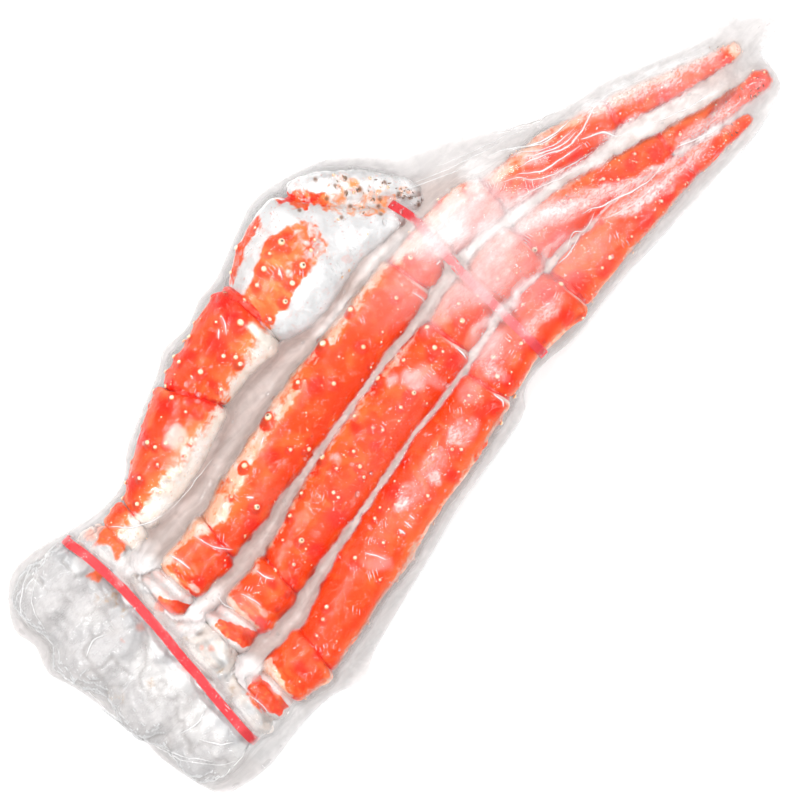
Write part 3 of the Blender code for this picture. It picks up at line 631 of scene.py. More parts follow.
# The shoulder's meat.
MEAT, MEAT_SHADE = (0.60, 0.60, 0.605), (0.53, 0.53, 0.535)
MEAT_FLECK = (0.70, 0.655, 0.63)
MEAT_CLUMP = (0.79, 0.785, 0.775)
MEAT_WARM = (0.76, 0.66, 0.595)
# painted shade in the sunken creases of the meat's folds
MEAT_CREASE_SHADE = (0.44, 0.42, 0.405)
MEAT_STAIN = (0.52, 0.36, 0.22)
SHELL_TRACE = (0.95, 0.17, 0.045)

# Joint skin, linings of the joints' grooves, spine tips and rubber, each with what it varies towards.
SKIN, SKIN_PINK = (0.80, 0.76, 0.745), (0.86, 0.66, 0.62)
LINING, LINING_DARK = (0.95, 0.050, 0.010), (0.85, 0.025, 0.006)
SPINE, SPINE_AMBER = (0.94, 0.80, 0.60), (0.94, 0.62, 0.36)
SPINE_FOOT, SPINE_POINT = (0.93, 0.40, 0.15), (0.10, 0.045, 0.025)
RUBBER, RUBBER_DARK = (0.80, 0.038, 0.050), (0.72, 0.016, 0.028)

# The film: what its clear part lets through, and its milky part, white or grey, where the warm grey is
# painted shade and painted bounce light from the red shell in the gaps.
FILM_CLEAR = (0.992, 0.990, 0.992, 1.0)
FILM_MILK, FILM_GREY_AND_SHADE = (0.90, 0.89, 0.89), (0.53, 0.395, 0.35)
FILM_ROUGHNESS, FILM_IOR = 0.09, 1.32


def shell_material(name, orange=ORANGE, pale=CREAM, patch=AMBER, freckled=0.6):
    """Cooked shell: pigment over pale shell, deeper by joints and spines, partly as painted shade, with
    fine pits and specks.
    """
    g = Graph(name)
    ragged = g.ramp(g.noise(4 * MM, 6.0, 0.8), 0.25, 0.75, -0.34, 0.34)
    edge = g.ramp(g.maths("ADD", g.attribute("flank"), ragged), 0.14, 0.86)
    colour = g.blotched(orange, patch, 0.60, (14 * MM, 5.0, 0.8), 0.45, 0.72)
    colour = g.blotched(colour, SALMON, 0.35, (20 * MM, 4.0, 0.6), 0.50, 0.74)
    colour = g.blotched(colour, DEEP, 0.18, (5 * MM, 3.0), 0.55, 0.75)
    colour = g.painted(colour, "amber", patch)
    colour = g.painted(colour, "deep", DEEP)
    bleached = tuple(0.5 + 0.5 * c for c in pale)
    faded = g.blotched(pale, bleached, 1.0, (7 * MM, 4.0, 0.8), 0.42, 0.66)
    faded = g.blotched(faded, patch, freckled, (2.4 * MM, 4.0, 0.8), 0.56, 0.68)
    colour = g.mix(edge, colour, faded)
    colour = g.blotched(colour, patch, 0.25, (0.9 * MM, 2.0), 0.62, 0.74)
    grit = g.ramp(g.noise(1.2 * MM, 2.0, 1.0), 0.645, 0.705, 0.0, 0.85)
    colour = g.mix(g.product(grit, g.ramp(g.noise(9 * MM, 3.0, 0.8), 0.44, 0.60)), colour, GRIT)
    pits = g.ramp(g.noise(1.3 * MM, 3.0, 0.6), 0.36, 0.28, 0.0, 0.30)
    colour = g.mix(g.product(pits, g.maths("SUBTRACT", 1.0, edge)), colour, PIT_RED)
    colour = g.painted(colour, "cream", IVORY)
    colour = g.painted(colour, "brown", BROWN)
    grain = g.bump(g.noise(0.8 * MM, 3.0), 0.10 * MM, 0.6)
    return g.surface(colour, g.noise(4 * MM, 3.0), 0.36, 0.54, grain, 0.15)


def meat_material():
    """White body meat and papery shell: soft greys, painted shade in the folds' creases, brown stains,
    traces of orange.
    """
    g = Graph("shoulder_meat_look")
    colour = g.blotched(MEAT, MEAT_SHADE, 1.0, (9 * MM, 4.0, 0.5), 0.35, 0.70)
    colour = g.blotched(colour, MEAT_FLECK, 0.35, (3 * MM, 3.0), 0.60, 0.78)
    colour = g.painted(colour, "clump", MEAT_CLUMP)
    colour = g.mix(g.product(g.attribute("warm"), 0.8), colour, MEAT_WARM)
    colour = g.painted(colour, "crease_shade", MEAT_CREASE_SHADE)
    blotch = g.ramp(g.noise(3.5 * MM, 4.0, 1.0), 0.42, 0.62)
    colour = g.mix(g.product(g.attribute("brown"), blotch), colour, MEAT_STAIN)
    colour = g.mix(g.ramp(g.attribute("flank"), 0.05, 0.9), colour, SHELL_TRACE)
    fibres = g.bump(g.noise(1.6 * MM, 4.0, 1.5, ((0.3, 1.0, 1.0), 0.3)), 0.18 * MM, 0.5)
    return g.surface(colour, g.noise(5 * MM, 2.0), 0.55, 0.75, fibres, 0.25)


def membrane_material():
    """The legs' roots: pinkish white joint skin with drawn folds, and orange slivers of shell."""
    g = Graph("joint_skin_look")
    skin = g.blotched(SKIN, SKIN_PINK, 1.0, (5 * MM, 3.0, 0.8), 0.38, 0.66)
    shell = g.blotched(ORANGE, AMBER, 1.0, (5 * MM, 4.0, 0.8), 0.45, 0.70)
    shell = g.painted(shell, "deep", DEEP)
    ragged = g.ramp(g.noise(3 * MM, 4.0, 0.6), 0.25, 0.75, -0.20, 0.20)
    edge = g.ramp(g.maths("ADD", g.attribute("flank"), ragged), 0.35, 0.65)
    folds = g.bump(g.noise(1.8 * MM, 3.0, 1.0, ((1.0, 0.25, 1.0), 0.0)), 0.3 * MM, 0.8)
    return g.surface(g.mix(edge, shell, skin), g.noise(3 * MM, 2.0), 0.28, 0.42, folds)


def lining_material():
    """What shows inside a joint's groove: wet, dark red skin."""
    g = Graph("joint_lining_look")
    colour = g.blotched(LINING, LINING_DARK, 1.0, (3 * MM, 3.0), 0.35, 0.65)
    return g.surface(colour, g.noise(2 * MM, 2.0), 0.25, 0.40)


def spine_material():
    """Pale spine tips, cream with an amber foot and now and then a brown point."""
    g = Graph("spine_tip_look")
    colour = g.blotched(SPINE, SPINE_AMBER, 1.0, (4 * MM, 2.0), 0.4, 0.7)
    colour = g.painted(colour, "foot", SPINE_FOOT)
    colour = g.painted(colour, "brown", SPINE_POINT)
    return g.surface(colour, g.noise(1 * MM, 2.0), 0.25, 0.42)


def rubber_material():
    """Soft red rubber with a faintly rough skin."""
    g = Graph("red_rubber_look")
    colour = g.blotched(RUBBER, RUBBER_DARK, 1.0, (7 * MM, 3.0), 0.35, 0.7)
    skin = g.bump(g.noise(0.7 * MM, 2.0), 0.05 * MM, 0.5)
    return g.surface(colour, g.noise(2 * MM, 2.0), 0.35, 0.5, skin)


def film_material(name):
    """Clear film: nearly all light goes through, some shines back, and lifted or folded film is milky.

    The mesh's masks say how milky each place is, with painted reflections, highlights and light mixed
    into its milk ("haze"), how grey its milk is, where the grey is painted shade and bounce light in
    the gaps ("grey"), how finely the milk is broken up ("crisp"), and where the film lies on the shell
    and shows white flecks that are painted glints ("lying").
    """
    g = Graph(name)
    g.tree.nodes.remove(g.shader)
    wrinkles = g.noise(4.5 * MM, 5.0, 1.4)
    creases = g.noise(1.5 * MM, 3.0, 0.8, ((0.35, 1.0, 1.0), 0.25))
    normal = g.bump(g.maths("ADD", wrinkles, g.product(creases, 0.35)), 0.45 * MM, 0.8)
    cloud = g.ramp(g.noise(10 * MM, 5.0, 0.8), 0.35, 0.70, 0.86, 1.08)
    strands = g.ramp(g.noise(4.0 * MM, 3.0, 0.5, ((0.22, 1.0, 1.0), 0.12)), 0.32, 0.68, 0.90, 1.07)
    haze_and_glare = g.product(g.product(g.attribute("haze_and_glare"), cloud), strands)
    grain = g.ramp(g.noise(1.3 * MM, 3.0, 1.0, ((0.55, 1.0, 1.0), 0.6)), 0.36, 0.64, -0.50, 0.20)
    haze_and_glare = g.product(haze_and_glare, g.maths("ADD", 1.0, g.product(g.attribute("crisp"), grain)))
    # painted glints: groups of small white flecks of milk where the film lies on the shell
    glint_flecks = g.ramp(g.noise(1.1 * MM, 3.0, 1.2, ((0.45, 1.0, 1.0), 0.5)), 0.60, 0.70, 0.0, 0.52)
    glint_groups = g.ramp(g.noise(7 * MM, 3.0, 0.6), 0.52, 0.64)
    haze_and_glare = g.maths("MAXIMUM", haze_and_glare, g.product(g.product(glint_flecks, glint_groups), g.attribute("lying")))
    clear = g.add("ShaderNodeBsdfTransparent")
    clear.inputs["Color"].default_value = FILM_CLEAR
    milk = g.add("ShaderNodeBsdfDiffuse")
    g.link(g.mix(g.attribute("grey_and_shade"), FILM_MILK, FILM_GREY_AND_SHADE), milk.inputs["Color"])
    gloss = g.add("ShaderNodeBsdfAnisotropic")
    gloss.inputs["Roughness"].default_value = FILM_ROUGHNESS
    g.link(normal, gloss.inputs["Normal"])
    fresnel = g.add("ShaderNodeFresnel")
    fresnel.inputs["IOR"].default_value = FILM_IOR
    g.link(normal, fresnel.inputs["Normal"])
    veiled = g.either(haze_and_glare, clear.outputs[0], milk.outputs[0])
    g.link(g.either(fresnel.outputs[0], veiled, gloss.outputs[0]), g.output.inputs["Surface"])
    return g.material


# ---------------------------------------------------------------- meshes and arrays
def read_values(items, key, width, kind=np.float64):
    """One property of all vertices or edges, as rows of an array."""
    values = np.empty(len(items) * width, dtype=kind)
    items.foreach_get(key, values)
    return values.reshape(-1, width)


def read_points(mesh):
    return read_values(mesh.vertices, "co", 3)


def read_normals(mesh):
    return read_values(mesh.vertices, "normal", 3)


def read_edges(mesh):
    return read_values(mesh.edges, "vertices", 2, np.int64)


def write_points(mesh, points):
    mesh.vertices.foreach_set("co", points.ravel())
    mesh.update()


def evened(values, edges, rounds):
    """Values at the points of a mesh, averaged with their neighbours' again and again."""
    count = np.ones(len(values))
    np.add.at(count, edges.ravel(), 1)
    for _ in range(rounds):
        total = values.copy()
        np.add.at(total, edges[:, 0], values[edges[:, 1]])
        np.add.at(total, edges[:, 1], values[edges[:, 0]])
        values = total / count
    return values


def set_attribute(mesh, name, values):
    """Writes a mask, which a material reads by its name, into a mesh."""
    layer = mesh.attributes.get(name) or mesh.attributes.new(name, "FLOAT", "POINT")
    layer.data.foreach_set("value", np.asarray(values, dtype=np.float32))


def linked(name, data):
    """A new object in the scene."""
    obj = bpy.data.objects.new(name, data)
    bpy.context.scene.collection.objects.link(obj)
    return obj


def new_object(name, mesh, material):
    """A visible piece with one material; all of them ride on the body, since nothing moves."""
    obj = linked(name, mesh)
    mesh.materials.clear()
    mesh.materials.append(material)
    mesh.shade_smooth()
    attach(obj, "root")
    return obj


def ring_faces(faces, base, rings, sides):
    """Joins rings of points, which start at a base index, with faces; returns the last ring's base."""
    for ring in range(rings - 1):
        a, b = base + ring * sides, base + (ring + 1) * sides
        for i in range(sides):
            j = (i + 1) % sides
            faces.append((a + i, a + j, b + j, b + i))
    return base + (rings - 1) * sides


def mesh_from(name, points, faces):
    """A mesh with the given points and faces."""
    mesh = bpy.data.meshes.new(name)
    mesh.from_pydata([tuple(p) for p in points], [], [tuple(f) for f in faces])
    mesh.update()
    return mesh


def voxel_mesh(obj, name, voxel, changes, smoothing=6):
    """A fine mesh of an object after some modifiers, given as (kind, settings), and an even remesh."""
    for kind, settings in changes:
        change = obj.modifiers.new(kind, kind)
        for key, value in settings.items():
            setattr(change, key, value)
    remesh = obj.modifiers.new("fine", "REMESH")
    remesh.mode = "VOXEL"
    remesh.voxel_size = voxel
    even = obj.modifiers.new("even", "SMOOTH")
    even.iterations = smoothing
    even.factor = 0.5
    graph = bpy.context.evaluated_depsgraph_get()
    mesh = bpy.data.meshes.new_from_object(obj.evaluated_get(graph))
    mesh.name = name
    old = obj.data
    bpy.data.objects.remove(obj)
    bpy.data.meshes.remove(old)
    return mesh


def joined_solids(nodes):
    """The faces of several CAD solids, for editing."""
    joined = bmesh.new()
    for node in nodes:
        joined.from_mesh(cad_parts[node].data)
    return joined


def solids_object(name, nodes):
    """One loose object with the faces of several CAD solids, its triangles joined into quads again."""
    joined = joined_solids(nodes)
    bmesh.ops.remove_doubles(joined, verts=joined.verts, dist=0.01 * MM)
    bmesh.ops.join_triangles(joined, faces=joined.faces, angle_face_threshold=math.radians(12),
                             angle_shape_threshold=math.radians(60))
    mesh = bpy.data.meshes.new(name)
    joined.to_mesh(mesh)
    joined.free()
    return linked(name, mesh)


def closed_mesh(name, nodes, voxel, closing, extra):
    """One fine mesh over several CAD solids, with the grooves between them filled."""
    outwards = ("DISPLACE", {"strength": closing, "mid_level": 0.0})
    back = ("DISPLACE", {"strength": extra - closing, "mid_level": 0.0})
    rough = solids_object(name + "_rough", nodes)
    mesh = voxel_mesh(rough, name + "_closed", voxel, [("SUBSURF", {"levels": 1}), outwards], 4)
    return voxel_mesh(linked(name + "_closed", mesh), name, voxel, [back], 4)


def solids_tree(nodes):
    """A tree of the CAD solids' faces, to find what lies nearest."""
    joined = joined_solids(nodes)
    tree = BVHTree.FromBMesh(joined)
    joined.free()
    return tree


def drawn_to(mesh, tree, extra, rounds):
    """Moves a smooth mesh along its normals, so that on average it lies on the solids again."""
    points, normals, edges = read_points(mesh), read_normals(mesh), read_edges(mesh)
    gap = np.zeros(len(points))
    for i, (p, n) in enumerate(zip(points, normals)):
        nearest = tree.find_nearest(Vector(p))[0]
        gap[i] = (np.array(nearest) - p) @ n
    gap = evened(gap, edges, rounds)
    write_points(mesh, points + normals * (gap + extra)[:, None])


def node_middle(node):
    """The middle of a CAD solid's box."""
    low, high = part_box(node)
    return (low + high) / 2.0


class Painted:
    """Points of a mesh with masks that say how strongly each paint covers them, from 0 to 1."""

    PAINTS = ("flank", "amber", "deep", "cream", "brown")

    def __init__(self, mesh):
        self.mesh = mesh
        self.points = read_points(mesh)
        self.xy = table_xy(self.points)
        self.masks = {key: np.zeros(len(self.points)) for key in self.PAINTS}

    def mask(self, name, values):
        """Raises a mask to some values where they are greater."""
        self.masks[name] = np.maximum(self.masks[name], values)

    def paint_over(self, name, value, strength):
        """Moves a mask towards a value where strength is 1."""
        self.masks[name] = self.masks[name] * (1 - strength) + value * strength

    def keep_masks(self):
        """Writes the masks into the mesh as attributes, which the materials read."""
        for key, values in self.masks.items():
            set_attribute(self.mesh, key, np.clip(values, 0, 1))


class Segment(Painted):
    """A limb's segment: its fine mesh, where each point lies on it, and what is painted where."""

    SLICES = 12

    def __init__(self, name, nodes, way, extra=0.25 * MM, closing=0.0, rounds=14):
        self.name = name
        self.nodes = nodes
        if closing:
            mesh = closed_mesh(name, nodes, SHELL_VOXEL, closing, 0.0)
        else:
            rough = solids_object(name + "_rough", nodes)
            mesh = voxel_mesh(rough, name, SHELL_VOXEL, [("SUBSURF", {"levels": 2})])
        drawn_to(mesh, solids_tree(nodes), extra, rounds)
        super().__init__(mesh)
        self.normals = read_normals(mesh)
        self.way = way
        self.across = np.array((-way[1], way[0], 0.0))
        self.locate()
        self.lift = np.zeros(len(self.points))

    def locate(self):
        """Works out each point's share along, its angle around, and its distance from either end."""
        run = self.points @ self.way
        side = self.points @ self.across
        up = self.points[:, 2]
        self.start, self.length = run.min(), np.ptp(run)
        self.along = (run - self.start) / self.length
        slices = np.clip((self.along * self.SLICES).astype(int), 0, self.SLICES - 1)
        middles, halves, rises, talls = [], [], [], []
        for i in range(self.SLICES):
            here = slices == i
            middles.append((side[here].max() + side[here].min()) / 2)
            halves.append(np.ptp(side[here]) / 2)
            rises.append((up[here].max() + up[here].min()) / 2)
            talls.append(np.ptp(up[here]) / 2)
        centres = (np.arange(self.SLICES) + 0.5) / self.SLICES
        self.half = np.interp(self.along, centres, halves)
        tall = np.interp(self.along, centres, talls)
        aside = side - np.interp(self.along, centres, middles)
        above = up - np.interp(self.along, centres, rises)
        self.aside = aside / self.half
        self.above = above / tall
        self.around = np.degrees(np.arctan2(self.aside, self.above))
        self.from_root = self.along * self.length
        self.from_tip = (1 - self.along) * self.length
        self.ends = []
        for i, share in ((0, 0.0), (-1, 1.0)):
            place = self.way * (self.start + self.length * share)
            place = place + self.across * middles[i] + np.array((0, 0, rises[i]))
            self.ends.append((place, halves[i], talls[i]))

    def raise_by(self, amount):
        """Lifts the shell along its normals once it is finished."""
        self.lift += amount

    def nearest(self, along, around):
        """The index of the point nearest to a place along and around."""
        turn = np.radians(around)
        difference = np.abs(np.angle(np.exp(1j * (np.radians(self.around) - turn))))
        cost = ((self.along - along) * self.length) ** 2 + (difference * self.half) ** 2
        return int(np.argmin(cost))

    def from_above(self, x, y):
        """The index of the upper point nearest to a place of the tables, and its distance."""
        distance = np.hypot(self.xy[:, 0] - x, self.xy[:, 1] - y) + 50.0 * (self.normals[:, 2] < 0.12)
        i = int(np.argmin(distance))
        return i, distance[i]

    def finish(self, material, slot):
        """The segment's piece, with its lift and its masks written into its mesh."""
        moved = self.points + self.normals * self.lift[:, None]
        write_points(self.mesh, moved)
        self.keep_masks()
        obj = new_object(self.name, self.mesh, material)
        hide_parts(*self.nodes)
        return obj


# ---------------------------------------------------------------- spines
class Spines:
    """Raises the mounds of all spines and collects their pale tips into one mesh."""

    RINGS = ((-0.45, 1.12), (0.05, 1.05), (0.45, 0.86), (0.78, 0.52), (0.96, 0.18))
    SIDES = 8

    def __init__(self):
        self.points, self.faces, self.brown, self.foot = [], [], [], []

    def tip(self, foot, normal, lean, radius, height, brown, dark=False):
        """A blunt dome with its foot just below the shell, leaning the way that the limb runs."""
        axis = normal + lean * 0.30
        axis = axis / np.linalg.norm(axis)
        u = np.cross(axis, (0.3, 0.9, 0.2))
        u /= np.linalg.norm(u)
        v = np.cross(axis, u)
        base = len(self.points)
        for rise, share in self.RINGS:
            for i in range(self.SIDES):
                turn = 2 * math.pi * i / self.SIDES
                around = math.cos(turn) * u + math.sin(turn) * v
                self.points.append(foot + axis * rise * height + around * share * radius)
                self.brown.append(brown * (dark or rise > 0.9))
                self.foot.append(float(rise < 0.4 and not dark))
        self.points.append(foot + axis * height)
        self.points.append(foot - axis * 0.6 * height)
        self.brown += [brown, brown * dark]
        self.foot += [0.0, 1.0]
        last = ring_faces(self.faces, base, len(self.RINGS), self.SIDES)
        top = last + self.SIDES
        for i in range(self.SIDES):
            j = (i + 1) % self.SIDES
            self.faces.append((last + i, last + j, top))
            self.faces.append((base + j, base + i, top + 1))

    def add(self, segment, i, size, brown=0.0):
        """A spine at one point of a segment, on a mound of shell that it raises and reddens, with
        painted shade to one side.
        """
        size = size * MM
        foot, normal = segment.points[i], segment.normals[i]
        distance = np.linalg.norm(segment.points - foot, axis=1)
        low = np.clip((TALLEST - foot[2]) / (1.3 * size), 0.3, 1.0)
        rise = 0.80 * size * low
        segment.raise_by(rise * np.exp(-((distance / (1.55 * size)) ** 2)))
        # the mound's red and a brown mark lie to one side of the spine as painted shade, and the pale
        # flank is cleared there
        shaded_side = np.linalg.norm(segment.points - foot + segment.way * 0.9 * size, axis=1)
        if size > 0.75 * MM:
            segment.mask("deep", 0.70 * smooth(shaded_side, 2.9 * size, 1.3 * size))
            segment.mask("brown", 0.24 * smooth(shaded_side, 2.1 * size, 1.2 * size))
            segment.paint_over("flank", 0.0, smooth(shaded_side, 2.7 * size, 1.6 * size) * (size > 1.3 * MM))
        tip_foot = foot + normal * rise * 0.80
        self.tip(tip_foot, normal, segment.way, 0.84 * size, 0.62 * size * low, brown)

    def make(self):
        """All tips and bristles as one piece."""
        mesh = mesh_from("spine_tips", self.points, self.faces)
        set_attribute(mesh, "brown", self.brown)
        set_attribute(mesh, "foot", self.foot)
        return new_object("spine_tips", mesh, spine_material())


def bristles(spines, segment, rng):
    """Short dark hairs in tufts, lying over at all angles."""
    for x, y, reach, count in BRISTLES:
        for _ in range(count):
            dx, dy = rng.normal(size=2) * reach * 0.5
            i, distance = segment.from_above(x + dx, y + dy)
            if distance < 1.5:
                lean = rng.normal(size=3) * np.array((3.0, 3.0, 0.5))
                spines.tip(segment.points[i], segment.normals[i], lean, rng.uniform(0.18, 0.36) * MM,
                           rng.uniform(0.9, 2.4) * MM, rng.uniform(0.6, 1.0), True)


def placed_spines(spines, segments, places, rng):
    """The spines of a table, each on the segment that lies under its place."""
    for x, y, size in places:
        found = [(segment.from_above(x, y), segment) for segment in segments]
        (i, distance), segment = min(found, key=lambda pair: pair[0][1])
        if distance < 4.0:
            spines.add(segment, i, size * rng.uniform(0.9, 1.1), float(rng.random() < 0.35))


def spine_rows(spines, segment, rows, rng):
    """Rows of spines: each row is (angle around, gap between spines, size), with uneven places."""
    for around, gap, size in rows:
        count = max(1, int(round(segment.length / (gap * MM))))
        for i in range(count):
            along = (i + 0.5 + rng.uniform(-0.28, 0.28)) / count
            if 0.05 < along < 0.97:
                place = segment.nearest(along, around + rng.uniform(-9, 9))
                spines.add(segment, place, size * rng.uniform(0.75, 1.15), float(rng.random() < 0.25))


def small_spines(spines, segment, count, rng, spread=85):
    """Grains between the spines, on the sides that look up."""
    for _ in range(count):
        place = segment.nearest(rng.uniform(0.05, 0.96), rng.uniform(-spread, spread))
        spines.add(segment, place, rng.uniform(0.28, 0.62), float(rng.random() < 0.2))


# ---------------------------------------------------------------- shells
def ways_of(names):
    """The direction of each segment of a limb, from the middles of its neighbours."""
    middles = [node_middle(name) for name in names]
    ways = []
    for i in range(len(middles)):
        step = middles[min(i + 1, len(middles) - 1)] - middles[max(i - 1, 0)]
        step.z = 0
        ways.append(np.array(step.normalized()))
    return ways


def uneven(segment, seed, amount=0.5):
    """The shell's own unevenness: slow swells, dents and a little fine roughness."""
    p = segment.points
    segment.raise_by(noise(p, 16 * MM, seed) * amount * MM)
    segment.raise_by(noise(p, 6 * MM, seed + 1) * amount * 0.5 * MM)
    segment.raise_by(noise(p, 2.2 * MM, seed + 2) * 0.09 * MM)


def collar(segment, from_end, height, width):
    """A low raised rim round one end."""
    segment.raise_by(height * np.exp(-(((from_end - width) / width) ** 2)))


def common_paint(segment, limb, seed):
    """Paint that all segments share: pale below, deep red places, a ragged pale flank, warm patches."""
    p = segment.points
    ragged = layered(p, 9 * MM, seed + 4, 4)
    if limb == "leg1":
        beyond = above_line(segment.xy, PALE_BEYOND[limb])
        kept_orange = smooth(layered(p, 9 * MM, seed + 6, 3), 0.02, 0.34)
        segment.mask("amber", 0.8 * smooth(beyond + ragged * 3, -5.0, 0.5))
        segment.mask("flank", smooth(beyond + ragged * 3.2, -3.0, 1.8) * (1 - 0.48 * kept_orange))
    if limb == "claw":
        beyond = -above_line(segment.xy, PALE_BEYOND[limb])
        segment.mask("amber", 0.75 * smooth(beyond + ragged * 4, -12.0, -3.0))
        segment.mask("flank", smooth(beyond + ragged * 3.2, -7.0, 3.5))
    if limb in SIDE_PAINT:
        side, amber, strength, patch_size, patch_ramp, pale = SIDE_PAINT[limb]
        warm = strength * smooth(side * segment.aside + ragged * 0.25, *amber)
        segment.mask("amber", warm * smooth(layered(p, patch_size * MM, seed + 5, 2), *patch_ramp))
        segment.mask("flank", 0.60 * smooth(side * segment.aside + ragged * 0.2, *pale))
    segment.mask("flank", smooth(np.abs(segment.around) + ragged * 14, 112, 142))
    deep = spots(segment.xy + ragged[:, None] * 2.2, DEEP_PLACES[limb])
    segment.mask("deep", 0.80 * smooth(segment.above, -0.4, 0.2) * deep)
    segment.mask("deep", 0.9 * smooth(segment.from_root, 3.4 * MM, 0.8 * MM))


def covered(segment, outlines, seed):
    """Where a segment lies inside any of some outlines, whose edges wander."""
    wobbly = segment.xy + layered(segment.points, 5 * MM, seed, 3)[:, None] * 1.6
    return sum(within(wobbly, outline) for outline in outlines)


def paint_root(segment, seed):
    """A leg's root: soft folded skin with slivers of shell."""
    p = segment.points
    slivers = covered(segment, ROOT_SLIVERS, seed + 8)
    segment.raise_by((layered(p, 7 * MM, seed) * 0.8 + 0.35 * crumpled(p, 7 * MM, seed)) * MM)
    segment.mask("flank", 1 - np.clip(slivers, 0, 1))
    segment.mask("deep", 0.30 * slivers * smooth(layered(p, 6 * MM, seed + 3), -0.1, 0.4))


def paint_leg_segment(segment, leg, kind, seed):
    """A leg segment's relief and paint: pressed sides, pale and amber places, rims and tips."""
    p = segment.points
    uneven(segment, seed + len(kind))
    turned = np.abs(segment.around)
    near_side = smooth(turned, 35, 80) * smooth(turned, 150, 105)
    sway = layered(p, 13 * MM, seed + 9, 2)
    facing = np.where(segment.around > 0, *PRESSED[leg]) * float(kind != "dactylus")
    segment.raise_by(near_side * (1.5 * sway + facing) * MM)
    common_paint(segment, leg, seed + len(kind))
    segment.mask("flank", covered(segment, ROOT_WEDGES, seed + 8))
    if kind == "ischium":
        near_root = smooth(segment.from_root, 15 * MM, 4 * MM)
        drawn = layered(p * np.array((1.0, 0.30, 1.0)), 4 * MM, seed + 31, 3)
        segment.mask("amber", 0.95 * near_root * smooth(drawn, -0.35, 0.15))
        segment.mask("cream", 0.60 * near_root * smooth(drawn, 0.16, 0.34))
    if kind in ("merus", "carpus"):
        rim = smooth(segment.from_tip, 2.4 * MM, 1.2 * MM)
        segment.mask("cream", 0.9 * rim * smooth(-segment.around, -30, 40))
    if kind in ("ischium", "merus", "carpus"):
        collar(segment, segment.from_tip, 0.7 * MM, 3.0 * MM)
    if leg == "leg1":
        shown = spots(segment.xy + layered(p, 4 * MM, seed + 12, 3)[:, None] * 2.0, SHOWN_PLACES)
        segment.paint_over("flank", 0.25, 0.8 * shown)
        segment.mask("amber", 0.8 * shown)
    if kind in ("propodus", "dactylus"):
        ragged = 0.3 * layered(p, 6 * MM, seed + 6, 3)
        segment.mask("amber", 0.8 * smooth(segment.aside + ragged, 0.35, 0.75))
    if kind == "dactylus":
        pale_tip = smooth(segment.from_tip, 9 * MM, 5 * MM) * float(leg == "leg1")
        segment.mask("flank", 0.75 * pale_tip)
        segment.mask("amber", pale_tip)
        point = smooth(segment.from_tip, 3.5 * MM, 0.5 * MM)
        segment.mask("brown", 0.5 * point * smooth(noise(p, 2.5 * MM, seed), -0.2, 0.4))


def make_leg(leg, spines, linings, skin, seed):
    """A walking leg: its soft root, its five shell segments, and their spines and linings."""
    look = shell_material(f"{leg}_shell_look", pale=BLUSH)
    rng = np.random.default_rng(seed)
    ways = dict(zip(LEG_KINDS, ways_of([f"{leg}_{kind}" for kind in LEG_KINDS])))
    root_nodes = [f"{leg}_basis", f"{leg}_membrane"]
    root = Segment(f"look_{leg}_root", root_nodes, ways["membrane"], 0.9 * MM, 3.5 * MM, 40)
    paint_root(root, seed)
    shells = {}
    for kind in LEG_SPINES:
        shells[kind] = Segment(f"look_{leg}_{kind}", [f"{leg}_{kind}"], ways[kind])
        paint_leg_segment(shells[kind], leg, kind, seed)
    bristles(spines, shells["dactylus"], np.random.default_rng(seed + 7))
    placed_spines(spines, shells.values(), SPINE_PLACES[leg], rng)
    for kind, (rows, grains) in LEG_SPINES.items():
        spine_rows(spines, shells[kind], rows, rng)
        small_spines(spines, shells[kind], grains, rng)
    line_joints(linings, list(shells.values()))
    pieces = [root.finish(skin, "joint_membrane")]
    return pieces + [segment.finish(look, "orange_shell") for segment in shells.values()]


def paint_claw_segment(segment, kind):
    """A claw arm segment's relief and paint: a pale side, the dark joint, cream patches and rims."""
    seed = 40 + len(kind)
    p, xy = segment.points, segment.xy
    upper = segment.above > 0
    uneven(segment, seed, 0.7)
    common_paint(segment, "claw", seed)
    segment.mask("flank", 0.85 * smooth(segment.around + layered(p, 9 * MM, seed) * 16, 96, 120))
    drawn_in = layered(p, 4 * MM, seed + 7, 2) * 1.6 * MM
    if kind != "ischium":
        segment.mask("deep", smooth(segment.from_root + 2 * drawn_in, 7.5 * MM, 3.0 * MM))
    # the joint is deep red, and its brown is painted shade along it
    stain_and_shade = spots(xy + drawn_in[:, None] / MM * 0.8, CLAW_JOINT) * upper
    segment.paint_over("flank", 0.0, stain_and_shade)
    segment.mask("deep", stain_and_shade)
    segment.mask("brown", 0.15 * stain_and_shade)
    warmed = spots(xy + drawn_in[:, None] / MM, CLAW_WARM) * upper
    segment.paint_over("flank", 0.35, warmed)
    segment.mask("amber", 0.8 * warmed)
    collar(segment, segment.from_tip, 0.8 * MM, 3.0 * MM)
    if kind == "merus":
        patch = within(xy + layered(p, 5 * MM, 43)[:, None] * 1.5, MERUS_PATCH, 1.5)
        segment.mask("cream", 0.55 * patch * upper)
        tip_rim = smooth(segment.from_tip, 6 * MM, 1.5 * MM)
        segment.mask("deep", tip_rim * smooth(segment.around, -70, -20))
    if kind == "carpus":
        lobe = within(xy + layered(p, 4 * MM, 48)[:, None] * 1.4, CARPUS_LOBE, 1.2)
        lobe = lobe * smooth(segment.above, -0.4, 0.0)
        segment.mask("cream", lobe)
        segment.raise_by(lobe * 0.9 * MM)
        segment.mask("deep", spots(xy, CARPUS_DEEP) * smooth(segment.above, -0.2, 0.2))


